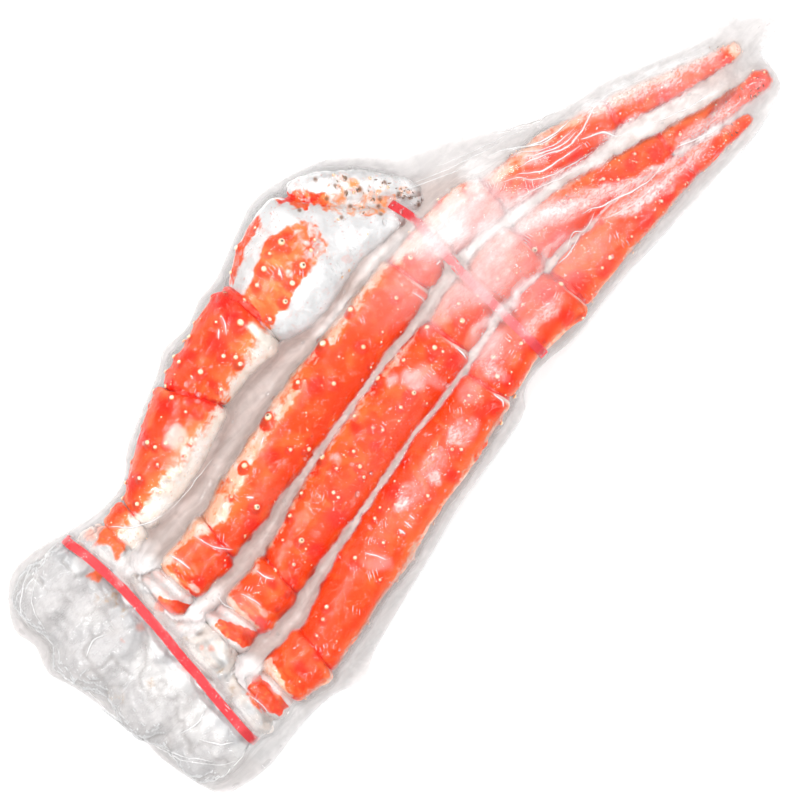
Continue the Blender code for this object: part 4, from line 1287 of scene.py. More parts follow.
def make_claw_arm(spines, linings):
    """The claw arm's ischium, merus and carpus, with their spines and linings."""
    names = [f"claw_{kind}" for kind in CLAW_KINDS]
    look = shell_material("claw_arm_look", ORANGE, CLAW_CREAM, CLAW_PATCH, 0.15)
    rng = np.random.default_rng(61)
    segments = []
    for kind, name, way in zip(CLAW_KINDS, names, ways_of(names)):
        if kind not in ("coxa", "palm"):
            segments.append(Segment(f"look_{name}", [name], way))
            paint_claw_segment(segments[-1], kind)
    placed_spines(spines, segments, SPINE_PLACES["claw"], rng)
    for segment in segments:
        spine_rows(spines, segment, CLAW_ROWS, rng)
        small_spines(spines, segment, CLAW_GRAINS, rng)
    line_joints(linings, segments + [None])
    return [segment.finish(look, "orange_shell") for segment in segments]


def white_claw_look(name, freckled):
    """The palm's, the finger's and their joint's white shell, where the pigment is a clear orange."""
    return shell_material(name, LIGHT_ORANGE, WHITE, LIGHT_PATCH, freckled)


def claw_ragged(points):
    """How far the edges of the claw's paint wander at each point, in millimetres."""
    return layered(points, 5 * MM, 72, 4)[:, None] * 2.6


def paint_claw_mouth(segment, ragged, upper):
    """What palm and finger share where they meet: red, then cream and amber with brown spots."""
    xy, p = segment.xy, segment.points
    wedge = within(xy + ragged, MOUTH_WEDGE, 1.6) * upper
    rim = within(xy + ragged, MOUTH_RIM, 2.0) * upper
    lumps = spots(xy + ragged * 0.6, MOUTH_LUMPS)
    amber = rim * (1 - lumps) * smooth(layered(p, 6 * MM, 76, 3), -0.50, -0.10)
    segment.paint_over("flank", 0.58, amber)
    segment.mask("amber", amber)
    segment.paint_over("flank", 0.35, spots(xy + ragged, MOUTH_ORANGE) * rim)
    segment.paint_over("flank", 0.05, wedge * smooth(layered(p, 3.5 * MM, 75, 2), -0.5, -0.1))
    segment.mask("deep", 0.9 * wedge * smooth(layered(p, 4 * MM, 79, 2), -0.1, 0.25))
    brown = spots(xy + ragged * 0.3, [(x, y, BROWN_SPOT) for x, y in MOUTH_BROWN])
    segment.mask("brown", 0.90 * brown * upper)


def make_palm(spines):
    """The claw's palm: smooth white shell with an orange patch, a red streak and a spotted mouth."""
    segment = Segment("look_claw_palm", ["claw_palm"], np.array((1.0, 0.0, 0.0)))
    p, xy = segment.points, segment.xy
    uneven(segment, 71, 0.7)
    ragged = claw_ragged(p)
    upper = smooth(segment.above, -0.25, 0.10)
    segment.mask("flank", np.ones(len(p)))
    patch = within(xy + ragged, PALM_PATCH, 1.4) * upper
    streak = within(xy + ragged, PALM_STREAK, 1.4) * upper
    segment.paint_over("flank", 0.0, np.clip(patch + streak * 0.85, 0, 1))
    segment.mask("deep", 0.35 * streak)
    fine = smooth(layered(p * np.array((1.0, 0.45, 1.0)), 3 * MM, 74, 3), 0.05, 0.45)
    segment.mask("amber", patch * (0.15 + 0.6 * fine))
    far = patch * smooth(xy[:, 0] - 0.5 * (xy[:, 1] - 88), 12, 24)
    segment.paint_over("flank", 0.52, far * smooth(layered(p, 5 * MM, 77, 3), -0.35, 0.10))
    segment.paint_over("flank", 0.50, within(xy + ragged, PALM_PINK, 2.0) * upper * 0.8)
    segment.mask("deep", 0.65 * spots(xy, PALM_DEEP) * patch)
    paint_claw_mouth(segment, ragged, upper)
    segment.mask("brown", 0.12 * within(xy, PALM_SHADE, 2.5) * upper)
    # a brown line along the palm's lower edge, partly its own colour and partly painted shade in the
    # groove
    edge, _ = from_path(xy, PALM_SHADED_EDGE)
    segment.mask("brown", 0.34 * smooth(edge, 1.0, 0.3))
    rng = np.random.default_rng(78)
    placed_spines(spines, [segment], SPINE_PLACES["palm"], rng)
    bristles(spines, segment, rng)
    return [segment.finish(white_claw_look("palm_look", 0.0), "white_shell")]


def make_finger(spines):
    """The claw's movable finger: red where it hinges, then cream and amber with brown spots."""
    segment = Segment("look_claw_finger", ["claw_finger"], np.array((0.72, -0.69, 0.0)), 1.0 * MM)
    p = segment.points
    uneven(segment, 81, 0.8)
    segment.raise_by(layered(p, 5 * MM, 86) * 1.0 * MM)
    segment.mask("flank", np.ones(len(p)))
    paint_claw_mouth(segment, claw_ragged(p), smooth(segment.above, -0.6, -0.1))
    segment.mask("brown", 0.45 * smooth(segment.along, 0.9, 1.0))
    bristles(spines, segment, np.random.default_rng(87))
    for along, around in FINGER_SPINES:
        spines.add(segment, segment.nearest(along, around), 1.0, 1.0)
    return [segment.finish(white_claw_look("finger_look", 0.1), "white_shell")]


def make_claw_mouth():
    """The joint skin that fills the groove between the palm and the finger."""
    nodes = ["claw_palm", "claw_finger"]
    mesh = closed_mesh("look_claw_mouth", nodes, SHELL_VOXEL, 5.0 * MM, -0.4 * MM)
    near = within(table_xy(read_points(mesh)), MOUTH_AREA, 0.1) > 0.5
    loose = bmesh.new()
    loose.from_mesh(mesh)
    loose.verts.ensure_lookup_table()
    bmesh.ops.delete(loose, geom=[loose.verts[i] for i in np.flatnonzero(~near)], context="VERTS")
    loose.to_mesh(mesh)
    loose.free()
    mouth = Painted(mesh)
    everywhere = np.ones(len(mouth.points))
    mouth.mask("flank", everywhere)
    paint_claw_mouth(mouth, claw_ragged(mouth.points), everywhere)
    mouth.keep_masks()
    look = white_claw_look("claw_mouth_look", 0.1)
    return [new_object("look_claw_mouth", mesh, look)]


class Linings:
    """Collects the short dark red barrels that show in the joints' grooves into one mesh."""

    SIDES = 28
    RINGS = ((-1.0, 0.70), (-0.8, 0.90), (-0.35, 1.0), (0.35, 1.0), (0.8, 0.90), (1.0, 0.70))

    def __init__(self):
        self.points, self.faces = [], []

    def barrel(self, place, way, across, half, tall, reach):
        """A closed oval barrel round a place, along a way, that reaches as far to either side."""
        base = len(self.points)
        for rise, share in self.RINGS:
            for i in range(self.SIDES):
                turn = 2 * math.pi * i / self.SIDES
                out = across * math.cos(turn) * half + np.array((0, 0, 1.0)) * math.sin(turn) * tall
                self.points.append(place + way * rise * reach + out * share)
        self.points += [place - way * reach, place + way * reach]
        last = ring_faces(self.faces, base, len(self.RINGS), self.SIDES)
        low = last + self.SIDES
        for i in range(self.SIDES):
            j = (i + 1) % self.SIDES
            self.faces.append((base + j, base + i, low))
            self.faces.append((last + i, last + j, low + 1))

    def make(self):
        """All barrels as one piece."""
        mesh = mesh_from("joint_linings", self.points, self.faces)
        return new_object("joint_linings", mesh, lining_material())


def line_joints(linings, segments):
    """A barrel between each segment and the next, drawn in a little from both of their ends."""
    for a, b in zip(segments, segments[1:]):
        place, half, tall = a.ends[1]
        if b is not None:
            far, half_b, tall_b = b.ends[0]
            place = (place + far) / 2
            half, tall = min(half, half_b), min(tall, tall_b)
        linings.barrel(place, a.way, a.across, half * 0.985, tall * 0.985, 4.0 * MM)


# ---------------------------------------------------------------- shoulder and bands
# The crumpled sheets that make up the shoulder's papery shell: (share, size in millimetres, seed).
PAPER_SHEETS = ((1.0, 17, 97), (0.6, 7, 98), (0.3, 3.6, 99))
BAND_EDGE = 0.25 * MM                           # how far the bands' edges are rounded


def make_shoulder():
    """The shoulder with the limbs' first segments: one lumpy white mass, drawn in under its band."""
    limbs = ("claw",) + LEGS
    nodes = [f"shoulder_{limb}" for limb in limbs] + [f"{limb}_coxa" for limb in limbs]
    mesh = closed_mesh("look_shoulder", nodes, (0.9) * MM, 12.0 * MM, 1.0 * MM)
    p, n = read_points(mesh), read_normals(mesh)
    lumps = layered(p, 15 * MM, 91, 3)
    folds = layered(p + lumps[:, None] * 3 * MM, 13 * MM, 95, 2)
    ridge = 1.0 - np.abs(folds) * 3.4
    paper = sum(share * crumpled(p, size * MM, seed) for share, size, seed in PAPER_SHEETS)
    beyond = past_band(p)
    free = smooth(np.abs(beyond), 2.8 * MM, 9 * MM)
    lift = (lumps * 1.25 - 1.1 * smooth(ridge, 0.3, 1.0) + 1.15 * paper) * (0.35 + 0.65 * free) * MM
    lift = lift - (1 - free) * 0.7 * MM
    p = p + n * lift[:, None]
    write_points(mesh, p)
    xy = table_xy(p)
    clump = smooth(lumps + 0.5 * folds, -0.02, 0.20) * smooth(beyond, -34 * MM, -16 * MM)
    warm = smooth(beyond, -1.0 * MM, 4.0 * MM) * smooth(layered(p, 6 * MM, 92, 3), -0.5, 0.2)
    stain_and_shade = spots(xy + layered(p, 4 * MM, 93, 2)[:, None] * 3.0, SHOULDER_STAINS)
    wobbly = xy + layered(p, 5 * MM, 94, 3)[:, None] * 2.2
    slivers = sum(within(wobbly, outline) for outline in ROOT_SLIVERS)
    orange = np.clip(slivers + 0.40 * spots(wobbly, SHOULDER_TRACES), 0, 1)
    # painted shade in the sunken creases along the folds
    set_attribute(mesh, "crease_shade", smooth(ridge, 0.50, 1.0) * 0.60 * free)
    set_attribute(mesh, "clump", 0.9 * clump)
    set_attribute(mesh, "warm", warm)
    set_attribute(mesh, "brown", 0.9 * stain_and_shade)
    set_attribute(mesh, "flank", orange * smooth(n[:, 2], -0.1, 0.3))
    obj = new_object("look_shoulder", mesh, meat_material())
    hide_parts(*nodes)
    return [obj]


def make_bands():
    """The two rubber bands: their own solids with rounded edges."""
    look = rubber_material()
    pieces = []
    for name in ("band_shoulder", "band_legs"):
        obj = solids_object("look_" + name, [name])
        obj.data.materials.append(look)
        obj.data.shade_smooth()
        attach(obj, "root")
        bevel = obj.modifiers.new("edges", "BEVEL")
        bevel.width = BAND_EDGE
        bevel.segments = 3
        rounded = obj.modifiers.new("round", "SUBSURF")
        rounded.levels = rounded.render_levels = 1
        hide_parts(name)
        pieces.append(obj)
    return pieces


# ---------------------------------------------------------------- film
# A fold's cross section, as (across, up) in shares of its half width.
FOLD_SECTION = ((-1.0, -0.25), (-0.55, 0.55), (0.0, 0.9), (0.55, 0.55), (1.0, -0.25), (0.0, -0.5))
# A blister's rings of points, as (height, radius) in shares of its size.
BLISTER_RINGS = ((-0.2, 1.04), (0.15, 0.98), (0.5, 0.84), (0.84, 0.48))
BLISTER_SIDES = 12
BLISTER_FLATNESS = 0.55
BLISTER_RADII = (0.35, 0.5, 0.7, 1.0)
# The folds' crests are white partly as milky doubled film and partly as a painted highlight along them.
FOLD_HAZE_AND_GLINT, BLISTER_HAZE = 0.80, 0.16
SHORT_FOLD_GROUPS = 52
# How far off the contents the upper film is laid, how near its relief may come, and the same below.
LAID_OVER, LEAST_OVER, LAID_UNDER = 0.18 * MM, 0.10 * MM, 0.25 * MM
FLAT_UNDER = 0.15 * MM                          # how high the lower film lies where it is flat
BLISTERS_INSIDE = 4 * MM                        # no blister lies nearer to the bag's edge


def bag_outline():
    """The trimmed edge of the bag, from the flat underside of its solid."""
    source = bmesh.new()
    source.from_mesh(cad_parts["vacuum_bag"].data)
    bmesh.ops.remove_doubles(source, verts=source.verts, dist=0.005 * MM)
    links = {}
    for edge in source.edges:
        flat = [all(abs(v.co.z) < 0.02 * MM for v in face.verts) for face in edge.link_faces]
        if sum(flat) == 1:
            a, b = edge.verts
            links.setdefault(a.index, []).append(b.index)
            links.setdefault(b.index, []).append(a.index)
    source.verts.ensure_lookup_table()
    start = max(links, key=lambda i: source.verts[i].co.x)
    loop, before, here = [start], None, start
    while True:
        onward = [i for i in links[here] if i != before]
        before, here = here, onward[0]
        if here == start:
            break
        loop.append(here)
    outline = np.array([source.verts[i].co[:2] for i in loop])
    source.free()
    return outline


class Ground:
    """A square grid over the bag, with the heights of what it holds."""

    def __init__(self, step, outline):
        low, high = outline.min(0) - 3 * step, outline.max(0) + 3 * step
        self.step = step
        self.xs = np.arange(low[0], high[0] + step, step)
        self.ys = np.arange(low[1], high[1] + step, step)
        gx, gy = np.meshgrid(self.xs, self.ys, indexing="ij")
        self.flat = np.stack([gx.ravel(), gy.ravel()], axis=1)
        self.shape = gx.shape
        self.solid = np.stack([gx.ravel(), gy.ravel(), np.zeros(gx.size)], axis=1)
        self.inside = inside(self.flat, outline).reshape(self.shape)
        closed = np.vstack([outline, outline[:1]])
        self.from_edge = from_path(self.flat, closed)[0].reshape(self.shape)

    def cast(self, tree, downwards=True):
        """The height of the first thing met from above, or from below; NaN where nothing is met."""
        heights = np.full(len(self.flat), np.nan)
        start = 0.1 if downwards else -0.1
        direction = Vector((0, 0, -1 if downwards else 1))
        for i in np.flatnonzero(self.inside.ravel()):
            x, y = self.flat[i]
            hit = tree.ray_cast(Vector((x, y, start)), direction)
            if hit[0] is not None:
                heights[i] = hit[0].z
        return heights.reshape(self.shape)

    def waves(self, size, seed, layers=3, stretch=(1.0, 1.0, 1.0)):
        """Layered noise on the grid."""
        return layered(self.solid * np.array(stretch), size, seed, layers).reshape(self.shape)


def widened(values):
    """Each cell's greatest value among itself and its neighbours."""
    result = values.copy()
    for axis in (0, 1):
        result = np.maximum(result, np.maximum(np.roll(values, 1, axis), np.roll(values, -1, axis)))
    return result


def filled(values, cells):
    """A height field with its narrow crevices filled, up to twice as wide as a number of cells."""
    for _ in range(cells):
        values = widened(values)
    for _ in range(cells):
        values = -widened(-values)
    return values


def beside_sum(values):
    """The sum of each cell's four neighbours."""
    return (np.roll(values, 1, 0) + np.roll(values, -1, 0)
            + np.roll(values, 1, 1) + np.roll(values, -1, 1))


def stretch(floor, pull, rounds, fixed):
    """Relaxes a stretched sheet, which sinks by pull between its supports and rests on floor."""
    height = floor.copy()
    for _ in range(rounds):
        height = np.maximum(beside_sum(height) / 4 - pull, floor)
        height[fixed] = floor[fixed]
    return height


def calmed(height, rounds):
    """A field of values averaged with their neighbours' again and again."""
    for _ in range(rounds):
        height = (height + beside_sum(height)) / 5
    return height


def sheet_mesh(name, ground, height, outline, edge_height):
    """A mesh of the grid cells inside the outline, its rim drawn onto the outline."""
    low, high = slice(None, -1), slice(1, None)
    corners = [ground.inside[a, b] for a in (low, high) for b in (low, high)]
    cells = np.logical_and.reduce(corners)
    index = np.full(ground.shape, -1)
    ii, jj = np.nonzero(cells)
    used = np.zeros(ground.shape, bool)
    for di in (0, 1):
        for dj in (0, 1):
            used[ii + di, jj + dj] = True
    index[used] = np.arange(used.sum())
    points = np.stack([*np.meshgrid(ground.xs, ground.ys, indexing="ij"), height], axis=-1)[used]
    around = ((0, 0), (1, 0), (1, 1), (0, 1))
    faces = np.stack([index[ii + di, jj + dj] for di, dj in around], axis=1)
    count = np.zeros(len(points), int)
    for column in faces.T:
        np.add.at(count, column, 1)
    rim = count < 4
    points[rim, :2] = nearest_on(points[rim][:, :2], outline)
    points[rim, 2] = edge_height
    return mesh_from(name, points, faces), used


def nearest_on(points, outline):
    """The nearest place on a closed outline to each point."""
    best = np.full(len(points), 1e9)
    place = np.zeros_like(points)
    for a, b in zip(outline, np.roll(outline, -1, axis=0)):
        run = b - a
        t = np.clip(((points - a) @ run) / max(run @ run, 1e-12), 0, 1)
        at = a + t[:, None] * run
        distance = np.linalg.norm(points - at, axis=1)
        closer = distance < best
        best[closer] = distance[closer]
        place[closer] = at[closer]
    return place


def seam_height(ground, edge_height, rise):
    """How high the two sheets meet: low at the trimmed edge, higher further in, and never even."""
    inward = smooth(ground.from_edge, 0.0, 16 * MM)
    between = smooth(ground.from_edge, 12 * MM, 30 * MM)
    sway = ground.waves(20 * MM, 201) * 1.3 * MM * smooth(ground.from_edge, 0.0, 6 * MM)
    return edge_height + rise * inward + 11.5 * MM * between + sway


def short_folds(rng, ground, touching):
    """Groups of short parallel folds where the film lies on the shell."""
    places = np.argwhere(touching)
    folds = []
    for _ in range(SHORT_FOLD_GROUPS):
        i, j = places[rng.integers(len(places))]
        middle = np.array((ground.xs[i], ground.ys[j])) / MM - TABLE_ORIGIN
        turn = rng.uniform(0.2, 1.9)
        run = np.array((math.cos(turn), math.sin(turn)))
        aside = np.array((-run[1], run[0]))
        for k in range(rng.integers(2, 5)):
            at = middle + aside * k * rng.uniform(1.4, 2.0) + run * rng.uniform(-1, 1)
            half = rng.uniform(0.8, 2.4)
            folds.append((at - run * half, at + run * half))
    return folds


def fold_relief(ground, folds, width):
    """How near each cell is to the crest of a fold, from 0 to 1, fading at a fold's ends."""
    xy = table_xy(ground.flat)
    result = np.zeros(len(xy))
    for path in folds:
        path = np.array(rounded_path(path))
        low, high = path.min(0) - 3 * width, path.max(0) + 3 * width
        near = np.all((xy > low) & (xy < high), axis=1)
        if not near.any():
            continue
        distance, share = from_path(xy[near], path)
        fade = smooth(share, 0.0, 0.12) * smooth(share, 1.0, 0.88)
        result[near] = np.maximum(result[near], np.exp(-((distance / width) ** 2)) * fade)
    return result.reshape(ground.shape)


def veil_and_glare_map(ground):
    """The white veil where the film stands off the shell, streaked along its places; much of it is a
    painted reflection of the lights and painted highlights.
    """
    warp = []
    for seed in (221, 222):
        warp.append((ground.waves(14 * MM, seed) * 3.5 + ground.waves(5 * MM, seed + 2) * 1.8).ravel())
    xy = table_xy(ground.flat) + np.stack(warp, axis=1)
    clear = np.ones(len(xy))
    for width, strength, path in VEILS_AND_REFLECTIONS:
        distance, share = from_path(xy, rounded_path(path))
        fade = smooth(share, 0.0, 0.18) * smooth(share, 1.0, 0.82)
        clear *= 1 - 0.9 * strength * smooth(distance, 1.25 * width, 0.1 * width) * fade
    for x, y, long, wide, degrees, strength in HAZE_AND_HIGHLIGHT_PLACES:
        c, s = math.cos(math.radians(degrees)), math.sin(math.radians(degrees))
        dx, dy = xy[:, 0] - x, xy[:, 1] - y
        u, v = (dx * c + dy * s) / long, (-dx * s + dy * c) / wide
        clear *= 1 - 0.86 * strength * smooth(u * u + v * v, 1.9, 0.05)
    return (1 - clear).reshape(ground.shape)


BAND_CALM = 6                                   # points to either side that even out the band's line


def past_band(points):
    """How far each point lies beyond the shoulder's band towards the legs, less than zero before it."""
    band_points = read_points(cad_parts["band_shoulder"].data)
    order = np.argsort(band_points[:, 1])
    padded = np.pad(band_points[order, 0], BAND_CALM, mode="edge")
    line_x = np.convolve(padded, np.ones(2 * BAND_CALM + 1) / (2 * BAND_CALM + 1), "valid")
    return points[:, 0] - np.interp(points[:, 1], band_points[order, 1], line_x)


class UpperFilm:
    """The upper sheet over the contents: how high it lies on a grid, and how it looks there.

    In its fields, "margin" is 1 near the bag's edge, "free" is 1 where the film spans a gap, and the
    veil is how far it stands off the shell and looks white, partly as a painted reflection and painted
    highlights.
    """

    def __init__(self, outline, tree):
        self.ground = ground = Ground(FILM_STEP, outline)
        self.outline = outline
        self.xy = table_xy(ground.flat)
        self.top = ground.cast(tree)
        self.touched = np.where(np.isnan(self.top), 0.0, self.top)
        self.bare = calmed(np.where(np.isnan(self.top), 1.0, 0.0), 2)
        self.seam = seam_height(ground, TOP_EDGE, 6.0 * MM)
        self.fixed = ~ground.inside | (ground.from_edge < 0.3 * FILM_STEP)
        self.margin = smooth(ground.from_edge, 24 * MM, 10 * MM)
        self.veil_and_glare = veil_and_glare_map(ground)
        self.folds = fold_relief(ground, FOLDS, 0.9)
        self.relax()
        self.add_relief()

    def ramp(self, axis, low, high):
        """A ramp along one axis of the tables, from 0 at low to 1 at high, in millimetres."""
        return smooth(self.xy[:, axis], low, high).reshape(self.ground.shape)

    def relax(self):
        """Stretches the sheet over what it holds, and finds where it is free of it."""
        floor = np.maximum(widened(self.touched) + LAID_OVER, self.seam)
        floor[self.fixed] = self.seam[self.fixed]
        pull = (0.9 + 2.2 * self.margin) * (self.ground.step / MM) ** 2 / 4 * MM
        height = stretch(floor, pull, 400, self.fixed)
        self.gap = height - self.touched
        crevice = filled(self.touched, 3) - self.touched
        free = np.maximum(smooth(self.bare, 0.0, 0.42), smooth(self.gap, 6 * MM, 10 * MM))
        self.free = np.maximum(free, smooth(crevice, 2.0 * MM, 4.0 * MM))
        self.height = np.where(self.free > 0.5, calmed(height, 10), height)

    def add_relief(self):
        """Adds wrinkles, folds and bulges, but keeps the sheet over the contents and low at its rim."""
        ground = self.ground
        at_shoulder = self.ramp(0, -160, -172)
        paper = crumpled(ground.solid, 8 * MM, 231).reshape(ground.shape)
        wrinkle = ground.waves(5 * MM, 211, 3, (0.55, 1.0, 1.0))
        height = self.height + (0.10 + 0.30 * self.free * self.margin) * wrinkle * MM
        height = height + (self.folds * 0.5 + self.veil_and_glare * 1.6) * MM
        height = height + at_shoulder * (0.7 * paper - 0.3) * self.free * MM
        height = np.maximum(height, self.seam * 0.6)
        height = np.minimum(height, np.minimum(TOP_EDGE + 2.4 * ground.from_edge, TALLEST + 0.2 * MM))
        height = np.maximum(height, self.touched + LEAST_OVER)
        height[self.fixed] = self.seam[self.fixed]
        self.height = height

    def paint(self, mesh, used):
        """Writes the masks that the film's material reads."""
        ground, margin, veil_and_glare = self.ground, self.margin, self.veil_and_glare
        streaks = smooth(ground.waves(7 * MM, 241, 4, (0.30, 1.0, 1.0)), -0.35, 0.35)
        wall = smooth(self.height - self.seam, 1.5 * MM, 12 * MM) * margin
        roots = self.ramp(0, -138, -147)
        beyond = past_band(ground.flat).reshape(ground.shape)
        crevice = smooth(filled(self.touched, 5) - self.touched, 0.9 * MM, 2.8 * MM)
        free = np.maximum(self.free, self.ramp(0, -162, -156) * roots * crevice)
        inner = 0.4 + 0.6 * smooth(ground.from_edge, 8 * MM, 15 * MM)

        spanning = free * (0.72 - 0.24 * margin + 0.05 * streaks * margin) * (1 - 0.70 * wall)
        haze_and_glare = 0.003 + 0.03 * self.ramp(0, 85, 110) + spanning
        # white milk over the crevices by the roots, partly painted light over their shade
        haze_and_glare = np.maximum(haze_and_glare, (0.55 + 0.29 * inner) * free * roots * (1 - 0.22 * wall))
        # the veil adds white milk that is partly a painted reflection and painted highlights
        haze_and_glare = 1 - (1 - np.clip(haze_and_glare, 0, 1)) * (1 - veil_and_glare * (0.68 + 0.28 * streaks))
        # white milk along the folds, partly a painted highlight on their crests
        haze_and_glare = 1 - (1 - haze_and_glare) * (1 - 0.22 * self.folds)
        clouded = smooth(beyond, -3.0 * MM, -14 * MM)
        haze_and_glare = np.maximum(haze_and_glare, clouded * (0.26 + 0.16 * streaks))
        # painted light: white milk beside the shoulder's band, laid over the band's shadow
        lit_beside_band = smooth(beyond, 2.0 * MM, 4.0 * MM) * smooth(beyond, 10 * MM, 6 * MM)
        haze_and_glare = np.maximum(haze_and_glare, 0.36 * lit_beside_band)
        joint = spots(self.xy, [(x, y, 1.9 * reach) for x, y, reach in CLAW_JOINT])
        haze_and_glare = haze_and_glare * (1 - 0.92 * joint.reshape(ground.shape))

        # painted shade with warm bounce light where the film spans a gap, less at the margin, the veil
        # and the roots
        grey_and_shade = free * (0.74 - 0.53 * margin) * (1 - 0.88 * np.maximum(veil_and_glare, roots * inner))
        lower = self.ramp(1, -14, -24) * self.ramp(0, -60, -30)
        # where the film lies on the shell and shows the painted glints
        lying = (1 - 0.8 * free) * (1 + 0.9 * np.maximum(self.ramp(0, 40, 90), lower))
        crisp = (0.20 + 0.70 * np.maximum(self.ramp(0, 95, 150), lower)) * (1 - 0.9 * free)
        crisp = crisp * (1 - 0.8 * margin * (self.bare > 0))
        set_attribute(mesh, "haze_and_glare", np.clip(haze_and_glare, 0, 0.97)[used])
        set_attribute(mesh, "grey_and_shade", np.maximum(grey_and_shade, 0.26 * clouded)[used])
        set_attribute(mesh, "lying", lying[used])
        set_attribute(mesh, "crisp", crisp[used])

    def make(self):
        """The sheet's own piece."""
        mesh, used = sheet_mesh("film_top", self.ground, self.height, self.outline, TOP_EDGE)
        self.paint(mesh, used)
        film_piece("film_top", mesh, "upper_film_look")


def film_piece(name, mesh, look):
    """A piece of film, drawn where the bag's solid was, which it hides."""
    film = new_object(name, mesh, film_material(look))
    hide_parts("vacuum_bag")


def make_upper_film(outline, tree):
    """The upper sheet with the folds that stand up in it and the blisters under it."""
    rng = np.random.default_rng(301)
    film = UpperFilm(outline, tree)
    film.make()
    lying = (film.gap < 0.6 * MM) & (film.top > 8 * MM)
    make_film_folds(film.ground, film.height, short_folds(rng, film.ground, lying))
    make_blisters(film.ground, film.height, rng)


def height_at(ground, height, places):
    """The film's height under some places (x, y) in metres, read between the cells."""
    fx = np.clip((places[:, 0] - ground.xs[0]) / ground.step, 0, ground.shape[0] - 1.001)
    fy = np.clip((places[:, 1] - ground.ys[0]) / ground.step, 0, ground.shape[1] - 1.001)
    i, j = fx.astype(int), fy.astype(int)
    u, v = fx - i, fy - j
    return ((height[i, j] * (1 - u) + height[i + 1, j] * u) * (1 - v)
            + (height[i, j + 1] * (1 - u) + height[i + 1, j + 1] * u) * v)


def make_film_folds(ground, height, short):
    """The crests of the folds: slim ridges of doubled film that taper out at both ends."""
    rng = np.random.default_rng(311)
    points, faces = [], []
    ridges = [(rounded_path(path, 8), rng.uniform(0.26, 0.60)) for path in FOLDS]
    ridges += [([np.array(p, dtype=float) for p in path], rng.uniform(0.10, 0.22)) for path in short]
    for path, half in ridges:
        path = np.array(path)
        runs = np.linalg.norm(np.diff(path, axis=0), axis=1)
        reach = np.concatenate([[0], np.cumsum(runs)])
        count = max(6, int(reach[-1] / 0.7))
        at = np.linspace(0, reach[-1], count)
        line = np.stack([np.interp(at, reach, path[:, k]) for k in (0, 1)], axis=1)
        flat = np.concatenate([line, np.zeros((count, 1))], axis=1)
        sway = np.stack([noise(flat, 5.0, seed) for seed in (312, 313)], axis=1)
        line = (line + 0.5 * sway * min(1.0, 0.1 * reach[-1]) + TABLE_ORIGIN) * MM
        way = np.gradient(line, axis=0)
        way /= np.linalg.norm(way, axis=1)[:, None]
        aside = np.stack([-way[:, 1], way[:, 0]], axis=1)
        share = np.linspace(0, 1, count)
        tapered = np.sin(np.pi * np.clip(share, 0.02, 0.98)) ** 0.6
        wide = half * tapered * (1 + 0.35 * noise(flat, 2.5, 314)) * MM
        base = len(points)
        lift = height_at(ground, height, line)
        for k in range(count):
            for across, up in FOLD_SECTION:
                place = line[k] + aside[k] * across * wide[k]
                points.append((place[0], place[1], lift[k] + up * wide[k] * 1.2))
        sides = len(FOLD_SECTION)
        last = ring_faces(faces, base, count, sides)
        faces.append(tuple(base + i for i in range(sides))[::-1])
        faces.append(tuple(last + i for i in range(sides)))
    mesh = mesh_from("film_folds", points, faces)
    recalculated(mesh)
    set_attribute(mesh, "haze_and_glare", np.full(len(points), FOLD_HAZE_AND_GLINT))
    film_piece("film_folds", mesh, "film_fold_look")


def recalculated(mesh):
    """Turns all of a closed mesh's faces outwards."""
    loose = bmesh.new()
    loose.from_mesh(mesh)
    bmesh.ops.recalc_face_normals(loose, faces=loose.faces)
    loose.to_mesh(mesh)
    loose.free()


def make_blisters(ground, height, rng):
    """Small flat blisters and drops that the film holds against the shell."""
    points, faces = [], []
    for x, y, reach, count in BLISTERS:
        for _ in range(count):
            place = (np.array((x, y)) + rng.normal(size=2) * reach * 0.55 + TABLE_ORIGIN) * MM
            radius = rng.choice(BLISTER_RADII) * rng.uniform(0.8, 1.25) * MM
            long, turn = rng.uniform(1.0, 1.7), rng.uniform(0, math.pi)
            cell = tuple(int(c) for c in (place - (ground.xs[0], ground.ys[0])) / ground.step)
            inside_grid = 0 <= cell[0] < ground.shape[0] and 0 <= cell[1] < ground.shape[1]
            if not inside_grid or not ground.inside[cell] or ground.from_edge[cell] < BLISTERS_INSIDE:
                continue
            z = height_at(ground, height, place[None])[0]
            base = len(points)
            c, s = math.cos(turn), math.sin(turn)
            for rise, share in BLISTER_RINGS:
                for i in range(BLISTER_SIDES):
                    angle = 2 * math.pi * i / BLISTER_SIDES
                    u, v = math.cos(angle) * radius * share * long, math.sin(angle) * radius * share
                    points.append((place[0] + u * c - v * s, place[1] + u * s + v * c,
                                   z + rise * radius * BLISTER_FLATNESS))
            points.append((place[0], place[1], z + BLISTER_FLATNESS * radius))
            last = ring_faces(faces, base, len(BLISTER_RINGS), BLISTER_SIDES)
            for i in range(BLISTER_SIDES):
                j = (i + 1) % BLISTER_SIDES
                faces.append((last + i, last + j, last + BLISTER_SIDES))
    mesh = mesh_from("film_blisters", points, faces)
    set_attribute(mesh, "haze_and_glare", np.full(len(points), BLISTER_HAZE))
    film_piece("film_blisters", mesh, "film_blister_look")


